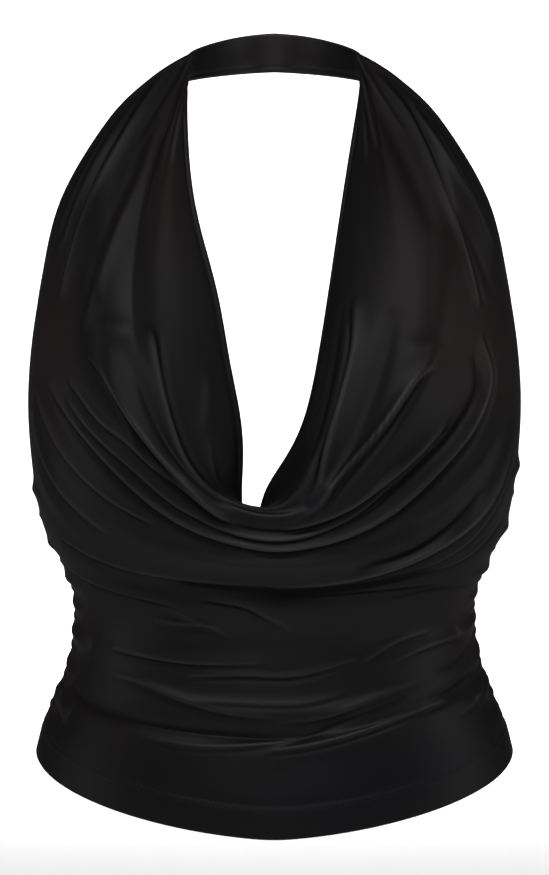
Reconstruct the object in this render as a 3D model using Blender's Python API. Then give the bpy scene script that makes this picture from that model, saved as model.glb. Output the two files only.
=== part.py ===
"""Halter neck top with a draped cowl front and gathered side seams, in the form it has when worn.

Blender 4.5, metres, +Z up. The garment faces -Y and +X is the wearer's left. The origin is on the inner face of
the neck band at the nape, where the wearer's neck carries the top. All sizes below are in millimetres.

The front is one cut piece. Its cloth is described by rows that run from one outer edge to the other: the lowest is
the hem, the middle ones hang as the U of the cowl, and the top one is the neckline, which is rolled in at the centre
so that it hangs inside. The back is a low panel that shares the front's side seams. Two band halves meet at the nape.
"""

from collections import namedtuple

import bmesh
import bpy
import numpy as np

MM = 0.001

# Wall thickness of each cut piece. The neck band is folded double.
CLOTH_THICK = 1.6
BAND_THICK = 2.6
SEAM_GAP = 0.4  # left between two pieces where they are sewn
BACK_HALF_WIDTH = 190  # round the body from the centre back to a side seam
BAND_SETBACK = 1.2  # the band starts this far behind the front's gathered end, clear of its corners

# The neck band.
BAND_HEIGHT = 22.8
BAND_STEPS = 14  # along each half
BAND_BANDS = 2  # across its height
NAPE_LEAN = 2.0  # how far the band's upper edge leans in towards the neck at the nape

FRONT_HALF_STEPS = 18  # columns from the centre to each outer edge
BACK_HALF_STEPS = 11
FOLD_STEPS = 40  # places measured along a fold
FOLD_TAPER = 0.6  # how fast a fold rises from its two ends: lower is faster
FOLD_EDGE_FADE = 0.1  # the last stretch of a panel, in across, where its folds flatten into the seam
FOLD_LAYER = 2.5  # a fold stays within this many rows, so that it doesn't print through to a layer behind

# One row of cloth across the front, for the wearer's left half. It leaves the centre level, reaches out to the
# reach point, turns up past the turn point and ends at the edge point: the side seam, then the armhole, then the
# end of the neck band. The other half mirrors it, with its reach and turn multiplied by right_reach and right_turn.
# rows_after is how many rows of faces lie between it and the next one.
FrontRow = namedtuple(
    "FrontRow",
    "name centre_x centre_y centre_z reach_x reach_y reach_z turn_x turn_y turn_z edge_x edge_y edge_z "
    "right_reach right_turn rows_after",
)
FRONT_ROWS = [
    FrontRow("hem", 0, -182, -485, 80, -182, -480, 150, -133, -457, 147, -75, -438, 1.0, 1.0, 4),
    FrontRow("hip", 0, -180, -462, 78, -180, -458, 147, -132, -441, 142, -75, -420, 1.0, 1.0, 4),
    FrontRow("high_hip", 0, -176, -436, 76, -176, -434, 137, -131, -419, 133, -75, -400, 1.0, 1.0, 4),
    FrontRow("low_waist", 0, -172, -408, 74, -172, -408, 128, -127, -395, 126, -74, -379, 1.0, 1.0, 4),
    FrontRow("waist", 0, -170, -380, 72, -170, -380, 125, -125, -369, 123, -73, -357, 1.0, 1.0, 4),
    FrontRow("high_waist", 0, -172, -358, 72, -172, -358, 126, -125, -349, 124, -71, -338, 1.0, 1.0, 4),
    FrontRow("under_lip", 0, -181, -344, 74, -181, -343, 136, -128, -333, 132, -68, -318, 1.0, 1.0, 4),
    FrontRow("lip", 0, -199, -334, 80, -199, -334, 151, -138, -314, 144, -65, -288, 1.0, 1.0, 4),
    FrontRow("underarm", 0, -207, -325, 84, -207, -325, 161, -146, -288, 149, -66, -240, 1.0, 1.0, 3),
    FrontRow("side_bust", 0, -209, -317, 86, -209, -317, 164, -155, -262, 149, -78, -195, 1.0, 1.0, 3),
    FrontRow("low_armhole", 0, -209, -311, 84, -209, -311, 158, -166, -245, 143, -95, -150, 1.0, 1.0, 2),
    FrontRow("armhole", 0, -208, -305, 78, -208, -305, 138, -188, -222, 130, -106, -100, 1.0, 1.0, 2),
    FrontRow("high_armhole", 0, -208, -300, 70, -208, -300, 128, -222, -205, 94, -91, -39, 1.0, 1.06, 2),
    FrontRow("shoulder", 0, -208, -297, 66, -208, -297, 122, -236, -202, 76, -83, -24, 1.0, 1.1, 2),
    FrontRow("band_top", 0, -208, -294, 60, -208, -294, 114, -242, -200, 52, -73, -8, 1.05, 1.13, 3),
    FrontRow("band_middle", -2, -207, -291, 44, -207, -291, 90, -234, -200, 52.8, -75, -13.5, 1.25, 1.3, 2),
    FrontRow("roll", -4, -206, -288, 27, -206, -289, 66, -218, -200, 53.4, -77, -18, 2.0, 1.52, 2),
    FrontRow("turned_in", -8, -196, -290, 28, -198, -286, 48, -200, -188, 54, -78.5, -22, 1.6, 1.6, 2),
    FrontRow("neckline", -16, -186, -299, 40, -190, -290, 28, -166, -162, 54.5, -80, -26, 0.35, 1.9, 0),
]
BAND_ROWS = (14, 18)  # the rows that end on the band's end: its top and bottom corner
SEAM_ROWS = 9  # the first rows, hem to underarm, end on the side seam

# The back's rows share the side seam's points with the front's first rows.
BackRow = namedtuple("BackRow", "name centre_y centre_z reach_x turn_x turn_y turn_z")
BACK_ROWS = [
    BackRow("hem", 27, -468, 82, 150, -17, -455),
    BackRow("hip", 25, -447, 80, 144, -20, -436),
    BackRow("high_hip", 19, -424, 76, 136, -24, -413),
    BackRow("low_waist", 12, -400, 72, 128, -28, -390),
    BackRow("waist", 8, -377, 70, 125, -30, -367),
    BackRow("high_waist", 8, -358, 70, 128, -30, -347),
    BackRow("under_lip", 10, -342, 72, 137, -28, -328),
    BackRow("lip", 12, -326, 74, 144, -24, -306),
    BackRow("top", 13, -309, 76, 148, -22, -278),
]


# A tug moves the cloth round one place of the front: by (dx, dy, dz), fading out over the spreads.
Tug = namedtuple("Tug", "name across row dx dy dz across_spread row_spread")
TUGS = [
    Tug("right_neckline_bow", -0.42, 18, 15, 0, 0, 0.22, 1.3),
    Tug("right_neckline_rise", -0.66, 18, 7, 0, 0, 0.13, 1.3),
    Tug("left_neckline_corner", 0.22, 18, -10, 3, 0, 0.13, 1.0),
]

# A fold runs through three places of a panel, each an across and a row. It rises that far out of the cloth, or
# sinks into it where rise is negative, and width is the distance at which it has died away.
Fold = namedtuple("Fold", "name across_a row_a across_b row_b across_c row_c rise width")
FRONT_FOLDS = [
    # The cowl: U-shaped folds that hang from the bust sides and cross the centre.
    Fold("long_fold", -0.78, 10.8, 0.0, 10.2, 0.78, 10.9, 4.0, 15),
    Fold("under_long_fold", -0.74, 9.2, 0.0, 9.2, 0.74, 9.4, -3.5, 16),
    Fold("lip_crease", -0.34, 11.9, 0.0, 11.5, 0.30, 11.6, -3.0, 11),
    Fold("lip_band", -0.30, 13.4, 0.0, 13.0, 0.32, 13.4, 2.0, 12),
    Fold("right_roll", -0.72, 15.2, -0.43, 15.9, -0.12, 15.0, 4.5, 15),
    Fold("right_roll_side", -0.66, 13.6, -0.46, 14.3, -0.24, 14.4, -3.5, 13),
    Fold("right_second_fold", -0.70, 11.5, -0.46, 13.0, -0.14, 12.4, 4.5, 14),
    Fold("right_third_fold", -0.66, 10.7, -0.38, 11.9, -0.08, 11.6, 3.0, 12),
    Fold("left_roll", 0.68, 16.1, 0.44, 16.1, 0.16, 15.2, 3.5, 13),
    Fold("left_roll_side", 0.66, 14.6, 0.46, 15.1, 0.24, 14.9, -3.0, 13),
    Fold("left_second_fold", 0.64, 12.4, 0.42, 14.1, 0.14, 13.6, 3.5, 14),
    Fold("left_third_fold", 0.62, 11.2, 0.36, 11.9, 0.08, 11.8, 3.0, 12),
    # The wings: gathers that fan out from the neck band's ends.
    Fold("right_wing_outer", -0.97, 12.3, -0.93, 11.6, -0.90, 10.6, 2.5, 11),
    Fold("right_wing_middle", -0.98, 13.2, -0.87, 12.3, -0.80, 10.8, 3.5, 14),
    Fold("right_wing_inner", -0.98, 14.4, -0.85, 13.8, -0.71, 12.0, 3.5, 15),
    Fold("left_wing_outer", 0.97, 12.5, 0.93, 11.8, 0.90, 10.6, 2.5, 11),
    Fold("left_wing_hollow", 0.97, 12.9, 0.89, 12.1, 0.84, 10.8, -3.0, 12),
    Fold("left_wing_middle", 0.98, 13.5, 0.90, 12.9, 0.78, 11.3, 4.0, 14),
    Fold("left_wing_deep", 0.98, 14.3, 0.91, 13.7, 0.80, 12.8, -3.5, 13),
    # Under the bust, and the ruched waist and hip.
    Fold("right_under_bust", -0.66, 7.2, -0.30, 6.6, 0.02, 6.5, -4.0, 14),
    Fold("left_under_bust", 0.00, 7.1, 0.38, 7.4, 0.76, 8.6, 3.0, 12),
    Fold("left_under_hollow", 0.04, 6.3, 0.42, 6.6, 0.82, 7.5, -3.0, 13),
    Fold("right_high_waist", -0.80, 5.8, -0.46, 5.5, -0.18, 5.2, -2.5, 12),
    Fold("centre_high_waist", -0.22, 6.1, -0.04, 5.7, 0.12, 4.9, 2.5, 12),
    Fold("right_waist_arc", -0.42, 4.8, -0.20, 5.0, -0.04, 4.4, 2.0, 11),
    Fold("waist_line", -0.66, 3.8, -0.20, 3.9, 0.20, 4.0, 2.5, 12),
    Fold("left_waist_hollow", 0.22, 4.0, 0.48, 4.2, 0.94, 4.0, -2.5, 12),
    Fold("low_waist_line", -0.70, 3.3, 0.10, 2.9, 0.92, 3.2, 3.0, 12),
    Fold("hip_hollow", -0.90, 2.4, 0.00, 2.4, 0.92, 2.9, -3.5, 12),
    Fold("hip_line", -0.08, 1.9, 0.34, 2.4, 0.90, 2.4, 2.5, 12),
    Fold("right_hem_corner", -0.94, 1.6, -0.86, 1.0, -0.78, 0.5, -2.5, 12),
    Fold("left_hem_corner", 0.94, 1.9, 0.86, 1.3, 0.80, 0.8, -2.5, 12),
]
BACK_FOLDS = [
    Fold("top_line", -0.80, 6.6, 0.00, 6.9, 0.80, 6.6, 2.5, 12),
    Fold("blade_hollow", -0.84, 5.6, -0.10, 5.9, 0.62, 5.3, -2.5, 12),
    Fold("small_of_back", -0.50, 4.7, 0.16, 5.0, 0.86, 4.9, 2.5, 12),
    Fold("waist_hollow", -0.90, 4.1, -0.20, 4.0, 0.50, 4.3, -2.5, 12),
    Fold("low_waist_line", -0.60, 3.2, 0.10, 3.3, 0.90, 3.5, 3.0, 12),
    Fold("seat_hollow", -0.90, 2.6, 0.00, 2.3, 0.88, 2.4, -3.0, 12),
    Fold("seat_line", -0.50, 1.7, 0.10, 1.5, 0.80, 1.8, 2.0, 12),
]

# Puckers where elastic draws the side seams up: short folds off each seam, uneven in place, length and height.
Pucker = namedtuple("Pucker", "row drop reach rise")
SEAM_PUCKERS = [
    Pucker(1.2, 0.3, 0.16, 2.0),
    Pucker(2.1, 0.2, 0.24, 2.8),
    Pucker(3.0, 0.3, 0.18, 2.4),
    Pucker(3.8, 0.1, 0.28, 3.0),
    Pucker(4.7, 0.2, 0.20, 2.4),
    Pucker(5.5, -0.1, 0.26, 2.8),
    Pucker(6.4, -0.2, 0.18, 2.2),
    Pucker(7.3, -0.4, 0.22, 2.0),
]
PUCKER_WIDTH = 9.0
PUCKER_SIDE_STEP = 0.35  # how many rows the puckers of one seam sit above those of the other


def clear_scene():
    """Removes every object of the open scene."""
    for obj in list(bpy.data.objects):
        bpy.data.objects.remove(obj, do_unlink=True)


def bezier(ends, t):
    """Points of the cubic with four control points, at each t."""
    p0, p1, p2, p3 = (np.array(p, float) for p in ends)
    t = np.asarray(t, float)[:, None]
    return (1 - t) ** 3 * p0 + 3 * (1 - t) ** 2 * t * p1 + 3 * (1 - t) * t**2 * p2 + t**3 * p3


def through(knots, at):
    """A smooth path through knots (count, ...), read at the row numbers at."""
    knots = np.asarray(knots, float)
    last = len(knots) - 1
    slopes = np.gradient(knots, axis=0)
    low = np.clip(np.floor(at).astype(int), 0, last - 1)
    s = (np.asarray(at, float) - low).reshape((-1,) + (1,) * (knots.ndim - 1))
    a, b, da, db = knots[low], knots[low + 1], slopes[low], slopes[low + 1]
    return (2 * s**3 - 3 * s**2 + 1) * a + (s**3 - 2 * s**2 + s) * da + (3 * s**2 - 2 * s**3) * b + (s**3 - s**2) * db


def front_controls(side, rows):
    """The four control points of the front's rows on one side (1 or -1), at each row number."""
    knots = []
    for row in FRONT_ROWS:
        reach = row.reach_x * (row.right_reach if side < 0 else 1.0)
        turn = row.turn_x * (row.right_turn if side < 0 else 1.0)
        knots.append([
            (row.centre_x, row.centre_y, row.centre_z),
            (row.centre_x + side * reach, row.reach_y, row.reach_z),
            (side * turn, row.turn_y, row.turn_z),
            (side * row.edge_x, row.edge_y, row.edge_z),
        ])
    return through(knots, rows)


def back_controls(side, rows):
    """The four control points of the back's rows on one side, ending on the front's own side seam."""
    knots = []
    for row in BACK_ROWS:
        knots.append([
            (0, row.centre_y, row.centre_z),
            (side * row.reach_x, row.centre_y, row.centre_z),
            (side * row.turn_x, row.turn_y, row.turn_z),
        ])
    return np.concatenate([through(knots, rows), front_controls(side, rows)[:, 3:]], axis=1)


def surface(controls, across, rows):
    """A panel's middle surface: a grid of points at each row number and each across, from -1 to 1."""
    grid = np.empty((len(rows), len(across), 3))
    for side in (1, -1):
        chosen = across >= 0 if side > 0 else across < 0
        for line, ends in zip(grid, controls(side, rows)):
            line[chosen] = bezier(ends, np.abs(across[chosen]))
    return grid


def pulled(grid, across, rows):
    """The grid after each tug."""
    for tug in TUGS:
        reach = ((across - tug.across) / tug.across_spread)[None, :] ** 2
        reach = reach + ((rows - tug.row) / tug.row_spread)[:, None] ** 2
        grid = grid + np.exp(-reach)[:, :, None] * np.array((tug.dx, tug.dy, tug.dz), float)
    return grid


def outward(grid):
    """The unit normal at each point of the front's grid, on the worn side."""
    normal = np.cross(np.gradient(grid, axis=1), np.gradient(grid, axis=0))
    return normal / np.maximum(np.linalg.norm(normal, axis=2, keepdims=True), 1e-9)


def read_grid(grid, across, rows, at_across, at_rows):
    """Points of the grid at places between its lines."""
    column = np.interp(at_across, across, np.arange(len(across)))
    line = np.interp(at_rows, rows, np.arange(len(rows)))
    c = np.clip(column.astype(int), 0, len(across) - 2)
    r = np.clip(line.astype(int), 0, len(rows) - 2)
    u, v = (column - c)[:, None], (line - r)[:, None]
    low = (1 - u) * grid[r, c] + u * grid[r, c + 1]
    high = (1 - u) * grid[r + 1, c] + u * grid[r + 1, c + 1]
    return (1 - v) * low + v * high


def pucker_folds():
    """The puckers as folds, on both side seams."""
    folds = []
    for side in (-1, 1):
        for number, pucker in enumerate(SEAM_PUCKERS):
            row = pucker.row + (PUCKER_SIDE_STEP if side > 0 else 0.0)
            inner = side * (0.98 - pucker.reach)
            middle = side * (0.98 - pucker.reach / 2)
            name = f"pucker_{number}"
            folds.append(Fold(name, side * 0.98, row, middle, row - pucker.drop / 2, inner, row - pucker.drop,
                              pucker.rise, PUCKER_WIDTH))
    return folds


def folded(grid, across, rows, folds):
    """The grid with each fold laid on it, measured along the cloth from the fold's own line."""
    rise = np.zeros(grid.shape[:2])
    t = np.linspace(0, 1, FOLD_STEPS)
    for fold in folds:
        knots = [(fold.across_a, fold.row_a), (fold.across_b, fold.row_b), (fold.across_c, fold.row_c)]
        places = through(knots, 2 * t)
        line = read_grid(grid, across, rows, places[:, 0], places[:, 1])
        strength = fold.rise * np.sin(np.pi * t) ** FOLD_TAPER
        gap = np.linalg.norm(grid[:, :, None, :] - line, axis=3)
        nearest = gap.argmin(axis=2)
        layer = np.abs(rows[:, None] - places[nearest, 1]) < FOLD_LAYER
        rise += layer * strength[nearest] * np.exp(-(2 * gap.min(axis=2) / fold.width) ** 2)
    edge = np.clip((1 - np.abs(across)) / FOLD_EDGE_FADE, 0, 1)
    rise *= edge * edge * (3 - 2 * edge)
    return grid + rise[:, :, None] * outward(grid)


def row_numbers(last):
    """Row numbers of the mesh lines, from the table's rows_after, up to row last."""
    numbers = [0.0]
    for index, row in enumerate(FRONT_ROWS[:last]):
        numbers += [index + (step + 1) / row.rows_after for step in range(row.rows_after)]
    return np.array(numbers)


def sheet_object(name, grid, thick, colour, roughness):
    """A node: the grid of points as a sheet of quads, given its thickness evenly to both sides."""
    rows, columns = grid.shape[:2]
    mesh = bpy.data.meshes.new(name)
    build = bmesh.new()
    verts = [[build.verts.new(point * MM) for point in line] for line in grid]
    for r in range(rows - 1):
        for c in range(columns - 1):
            build.faces.new((verts[r][c], verts[r][c + 1], verts[r + 1][c + 1], verts[r + 1][c]))
    build.to_mesh(mesh)
    build.free()
    mesh.shade_smooth()
    obj = bpy.data.objects.new(name, mesh)
    bpy.context.scene.collection.objects.link(obj)
    wall = obj.modifiers.new("wall", "SOLIDIFY")
    wall.thickness = thick * MM
    wall.offset = 0.0
    mesh.materials.append(cloth_material(name, colour, roughness))
    return obj


def cloth_material(name, colour, roughness):
    """A plain Principled finish for one cut piece."""
    material = bpy.data.materials.new(name)
    material.use_nodes = True
    shader = material.node_tree.nodes["Principled BSDF"]
    shader.inputs["Base Color"].default_value = (*colour, 1.0)
    shader.inputs["Roughness"].default_value = roughness
    shader.inputs["Metallic"].default_value = 0.0
    return material


def band_surface(side):
    """One half of the neck band: from the front's end round the side of the neck to the nape seam."""
    top, bottom = (FRONT_ROWS[index] for index in BAND_ROWS)
    high = np.array([top.edge_x, top.edge_y, top.edge_z], float)
    low = np.array([bottom.edge_x, bottom.edge_y, bottom.edge_z], float)
    joint = (high + low) / 2
    nape = np.array([0, BAND_THICK / 2, 0])
    ends = [joint, joint + (2, 28, 4), nape + (30, 0, -1), nape]
    t = np.linspace(0, 1, 101)
    run = np.linalg.norm(np.diff(bezier(ends, t), axis=0), axis=1)
    lengths = np.concatenate([[0], np.cumsum(run)])
    wanted = np.linspace(BAND_SETBACK, lengths[-1] - SEAM_GAP / 2, BAND_STEPS + 1)
    along = np.interp(wanted, lengths, t)
    path = bezier(ends, along)
    half_at_nape = np.array([0, -NAPE_LEAN, BAND_HEIGHT / 2])
    blend = (along * along * (3 - 2 * along))[:, None]
    halves = (1 - blend) * (high - low) / 2 + blend * half_at_nape
    levels = np.linspace(-1, 1, BAND_BANDS + 1)
    grid = np.array([path + level * halves for level in levels])
    grid[:, :, 0] *= side
    return grid if side > 0 else grid[:, ::-1]


def front_surface():
    """The front's middle surface with its folds."""
    across = np.linspace(-1, 1, 2 * FRONT_HALF_STEPS + 1)
    rows = row_numbers(len(FRONT_ROWS) - 1)
    grid = pulled(surface(front_controls, across, rows), across, rows)
    return folded(grid, across, rows, FRONT_FOLDS + pucker_folds())


def back_surface():
    """The back's middle surface with its folds, clear of the front at both side seams."""
    seam = 1 - SEAM_GAP / BACK_HALF_WIDTH
    across = np.linspace(-seam, seam, 2 * BACK_HALF_STEPS + 1)
    rows = row_numbers(SEAM_ROWS - 1)
    grid = surface(back_controls, across, rows)[:, ::-1]
    return folded(grid, across, rows, BACK_FOLDS + pucker_folds())


def main():
    clear_scene()
    black = (0.012, 0.011, 0.012)
    sheet_object("front", front_surface(), CLOTH_THICK, black, 0.5)
    sheet_object("back", back_surface(), CLOTH_THICK, black, 0.5)
    sheet_object("neck_band_left", band_surface(1)[:, ::-1], BAND_THICK, black, 0.45)
    sheet_object("neck_band_right", band_surface(-1)[:, ::-1], BAND_THICK, black, 0.45)


main()
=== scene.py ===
"""Looks of a halter neck top in black slinky jersey: draped cloth, sewing, finish and a plain studio.

The garment hangs from its neck band in the form it has when worn. Its cloth is made from the same rows as its
solids, on a finer grid and with many more creases, and each cut piece becomes a thin closed shell. Garment sizes are
in millimetres and become metres where a mesh is made; the studio and the finishes are in metres.
"""

import logging
from collections.abc import Callable, Sequence
from dataclasses import dataclass, field
from enum import Enum
from typing import ClassVar

import bpy
import numpy as np
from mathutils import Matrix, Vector


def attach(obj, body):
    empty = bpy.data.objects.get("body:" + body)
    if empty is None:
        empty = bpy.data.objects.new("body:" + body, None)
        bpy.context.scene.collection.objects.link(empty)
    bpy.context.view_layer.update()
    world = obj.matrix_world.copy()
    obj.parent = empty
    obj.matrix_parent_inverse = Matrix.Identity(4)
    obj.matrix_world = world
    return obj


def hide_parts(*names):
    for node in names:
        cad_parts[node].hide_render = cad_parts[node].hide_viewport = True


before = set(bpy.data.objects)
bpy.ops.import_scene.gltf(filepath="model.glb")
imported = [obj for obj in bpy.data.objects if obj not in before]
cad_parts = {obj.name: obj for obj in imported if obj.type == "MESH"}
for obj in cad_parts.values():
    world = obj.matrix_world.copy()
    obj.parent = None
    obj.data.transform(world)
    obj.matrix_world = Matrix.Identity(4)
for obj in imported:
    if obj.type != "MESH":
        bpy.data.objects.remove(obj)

LOG = logging.getLogger("halter_top")
MM = 0.001

Point = tuple[float, float, float]
Place = tuple[float, float]
Colour = tuple[float, float, float]


class Side(Enum):
    """A side of the garment, by the sign of its X."""

    RIGHT = -1
    LEFT = 1


class Edge(Enum):
    """A border of a panel's grid."""

    HEM = "hem"
    NECKLINE = "neckline"
    RIGHT_SIDE = "right side"
    LEFT_SIDE = "left side"


class Face(Enum):
    """A face of a panel, by the sign of its normal."""

    OUTER = 1
    INNER = -1


class Hold(Enum):
    HUNG = "hung"
    GATHERED = "gathered"


# ---------------------------------------------------------------------------------------------------------------
# Curves and grids
# ---------------------------------------------------------------------------------------------------------------


def smooth_step(value: np.ndarray) -> np.ndarray:
    """Eases 0 to 1, with values outside clipped."""
    value = np.clip(value, 0.0, 1.0)
    return value * value * (3.0 - 2.0 * value)


def bezier(ends: np.ndarray, t: np.ndarray) -> np.ndarray:
    """Points of a cubic curve.

    Args:
        ends: its four control points, shaped (4, 3).
        t: places along it, from 0 to 1.

    Returns:
        Points shaped (len(t), 3).
    """
    p0, p1, p2, p3 = ends
    t = np.asarray(t, float)[:, None]
    return (1 - t) ** 3 * p0 + 3 * (1 - t) ** 2 * t * p1 + 3 * (1 - t) * t**2 * p2 + t**3 * p3


def through(knots: Sequence, at: np.ndarray) -> np.ndarray:
    """A smooth path through knots.

    Args:
        knots: values of any shape, one for each whole number from 0.
        at: the numbers at which to read the path.

    Returns:
        The path's values, one for each number in at.
    """
    knots = np.asarray(knots, float)
    last = len(knots) - 1
    slopes = np.gradient(knots, axis=0)
    low = np.clip(np.floor(at).astype(int), 0, last - 1)
    s = (np.asarray(at, float) - low).reshape((-1,) + (1,) * (knots.ndim - 1))
    a, b, da, db = knots[low], knots[low + 1], slopes[low], slopes[low + 1]
    return (2 * s**3 - 3 * s**2 + 1) * a + (s**3 - 2 * s**2 + s) * da + (3 * s**2 - 2 * s**3) * b + (s**3 - s**2) * db


def nearest_on(line: np.ndarray, points: np.ndarray) -> tuple[np.ndarray, np.ndarray]:
    """How far each point is from a line of straight stretches, and where along it.

    Args:
        line: the line's points, shaped (count, 3).
        points: any grid of points, shaped (..., 3).

    Returns:
        The distances, and the nearest places as shares of the line, from 0 to 1.
    """
    gap = np.full(points.shape[:-1], np.inf)
    place = np.zeros(points.shape[:-1])
    for index, (start, end) in enumerate(zip(line[:-1], line[1:])):
        step = end - start
        offset = points - start
        share = np.clip(offset @ step / max(float(step @ step), 1e-9), 0.0, 1.0)
        distance = np.linalg.norm(offset - share[..., None] * step, axis=-1)
        closer = distance < gap
        gap[closer] = distance[closer]
        place[closer] = (index + share[closer]) / (len(line) - 1)
    return gap, place


def fading(across: np.ndarray, rows: np.ndarray, place: Place, reach: Place) -> np.ndarray:
    """How much of something laid round one place each point of a grid takes.

    Args:
        across: the columns' places.
        rows: the lines' row numbers.
        place: its middle, as across and row number.
        reach: how far it fades out, in across and in rows.

    Returns:
        From 1 at its middle to 0 far off, shaped (len(rows), len(across)).
    """
    gap = ((across - place[0]) / reach[0])[None, :] ** 2
    gap = gap + ((rows - place[1]) / reach[1])[:, None] ** 2
    return np.exp(-gap)


def two_sided(across: np.ndarray, rows: np.ndarray, controls: Callable[[Side, np.ndarray], np.ndarray]) -> np.ndarray:
    """Rows of cloth drawn from the centre to each side.

    Args:
        across: the columns' places, from -1 to 1.
        rows: row numbers.
        controls: gives a side's control points at those rows, shaped (len(rows), 4, 3).

    Returns:
        Points shaped (len(rows), len(across), 3).
    """
    points = np.empty((len(rows), len(across), 3))
    for side in Side:
        chosen = across >= 0 if side is Side.LEFT else across < 0
        for line, ends in zip(points, controls(side, rows)):
            line[chosen] = bezier(ends, np.abs(across[chosen]))
    return points


@dataclass(frozen=True)
class Crease:
    """A soft ridge or trough that runs through a few places of a panel.

    Attributes:
        name: what it is on the garment.
        path: two or more places, each an across from -1 to 1 and a row number.
        rise: height of the ridge in mm; a negative one is a trough.
        width: distance from its line, in mm, at which it has died away.
        keen: 2 for a round swell; lower is a keener crest.
        lean: how far, in mm, the crest slides towards the hem, so that it hangs over.
        tuck: depth of the tuck beside the crest as a share of its rise; on the hem side, or on the neckline side
            where it is negative.
        taper: how fast it rises from its ends; lower is faster.
        to_edge: whether it keeps its height up to the panel's side edges.
    """

    name: str
    path: tuple[Place, ...]
    rise: float
    width: float
    keen: float = 1.6
    lean: float = 0.0
    tuck: float = 0.0
    taper: float = 0.6
    to_edge: bool = False

    TUCK_PLACE: ClassVar[float] = 0.62
    TUCK_WIDTH: ClassVar[float] = 0.36
    # LINE_WIDTH, FULL_RISE and BROADEST_FOLD shape the painted highlight and shade along each crease
    LINE_WIDTH: ClassVar[float] = 0.2
    FULL_RISE: ClassVar[float] = 2.6
    BROADEST_FOLD: ClassVar[float] = 8.6

    def hollow(self, gap: np.ndarray, above: np.ndarray) -> np.ndarray:
        """The depth of the tuck beside it as a share of its deepest, from the same two measures as profile."""
        signed = np.where(above < 0, gap, -gap) * (1.0 if self.tuck >= 0 else -1.0)
        return np.exp(-(((signed - self.TUCK_PLACE * self.width) / (self.TUCK_WIDTH * self.width)) ** 2))

    def profile(self, gap: np.ndarray, above: np.ndarray) -> np.ndarray:
        """Its height as a share of its rise, from the distance to its line in mm and the rows above that line."""
        crest = np.exp(-((2 * gap / self.width) ** self.keen))
        return crest - abs(self.tuck) * self.hollow(gap, above)

    def painted_crest_light(self, gap: np.ndarray, above: np.ndarray) -> np.ndarray:
        """Painted highlight along the crest and painted shade in the tuck beside it.

        Args:
            gap: distance from its line in mm.
            above: rows above its line; negative on the hem side.

        Returns:
            From -1, painted shade, to 1, painted highlight; 0 all over for a broad swell.
        """
        if self.width > self.BROADEST_FOLD:
            return np.zeros_like(gap)
        line = np.exp(-((gap / (self.LINE_WIDTH * self.width)) ** 2))
        height = min(abs(self.rise) / self.FULL_RISE, 1.0)
        if self.rise < 0:
            return -height * line
        return height * (line - min(abs(self.tuck), 1.0) * self.hollow(gap, above))


@dataclass(frozen=True)
class Patch:
    """A soft patch of painted light and shade on the cloth, with a painted tint between warm and cool.

    Attributes:
        name: where it is on the garment.
        place: its middle, as across and row number.
        reach: how far it fades out, in across and in rows.
        warmth: painted tint, from -1, bluish as in shade, to 1, reddish as in warm light.
        light: share by which painted light makes it lighter, and painted shade darker where it is negative.
    """

    name: str
    place: Place
    reach: Place
    warmth: float
    light: float


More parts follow.
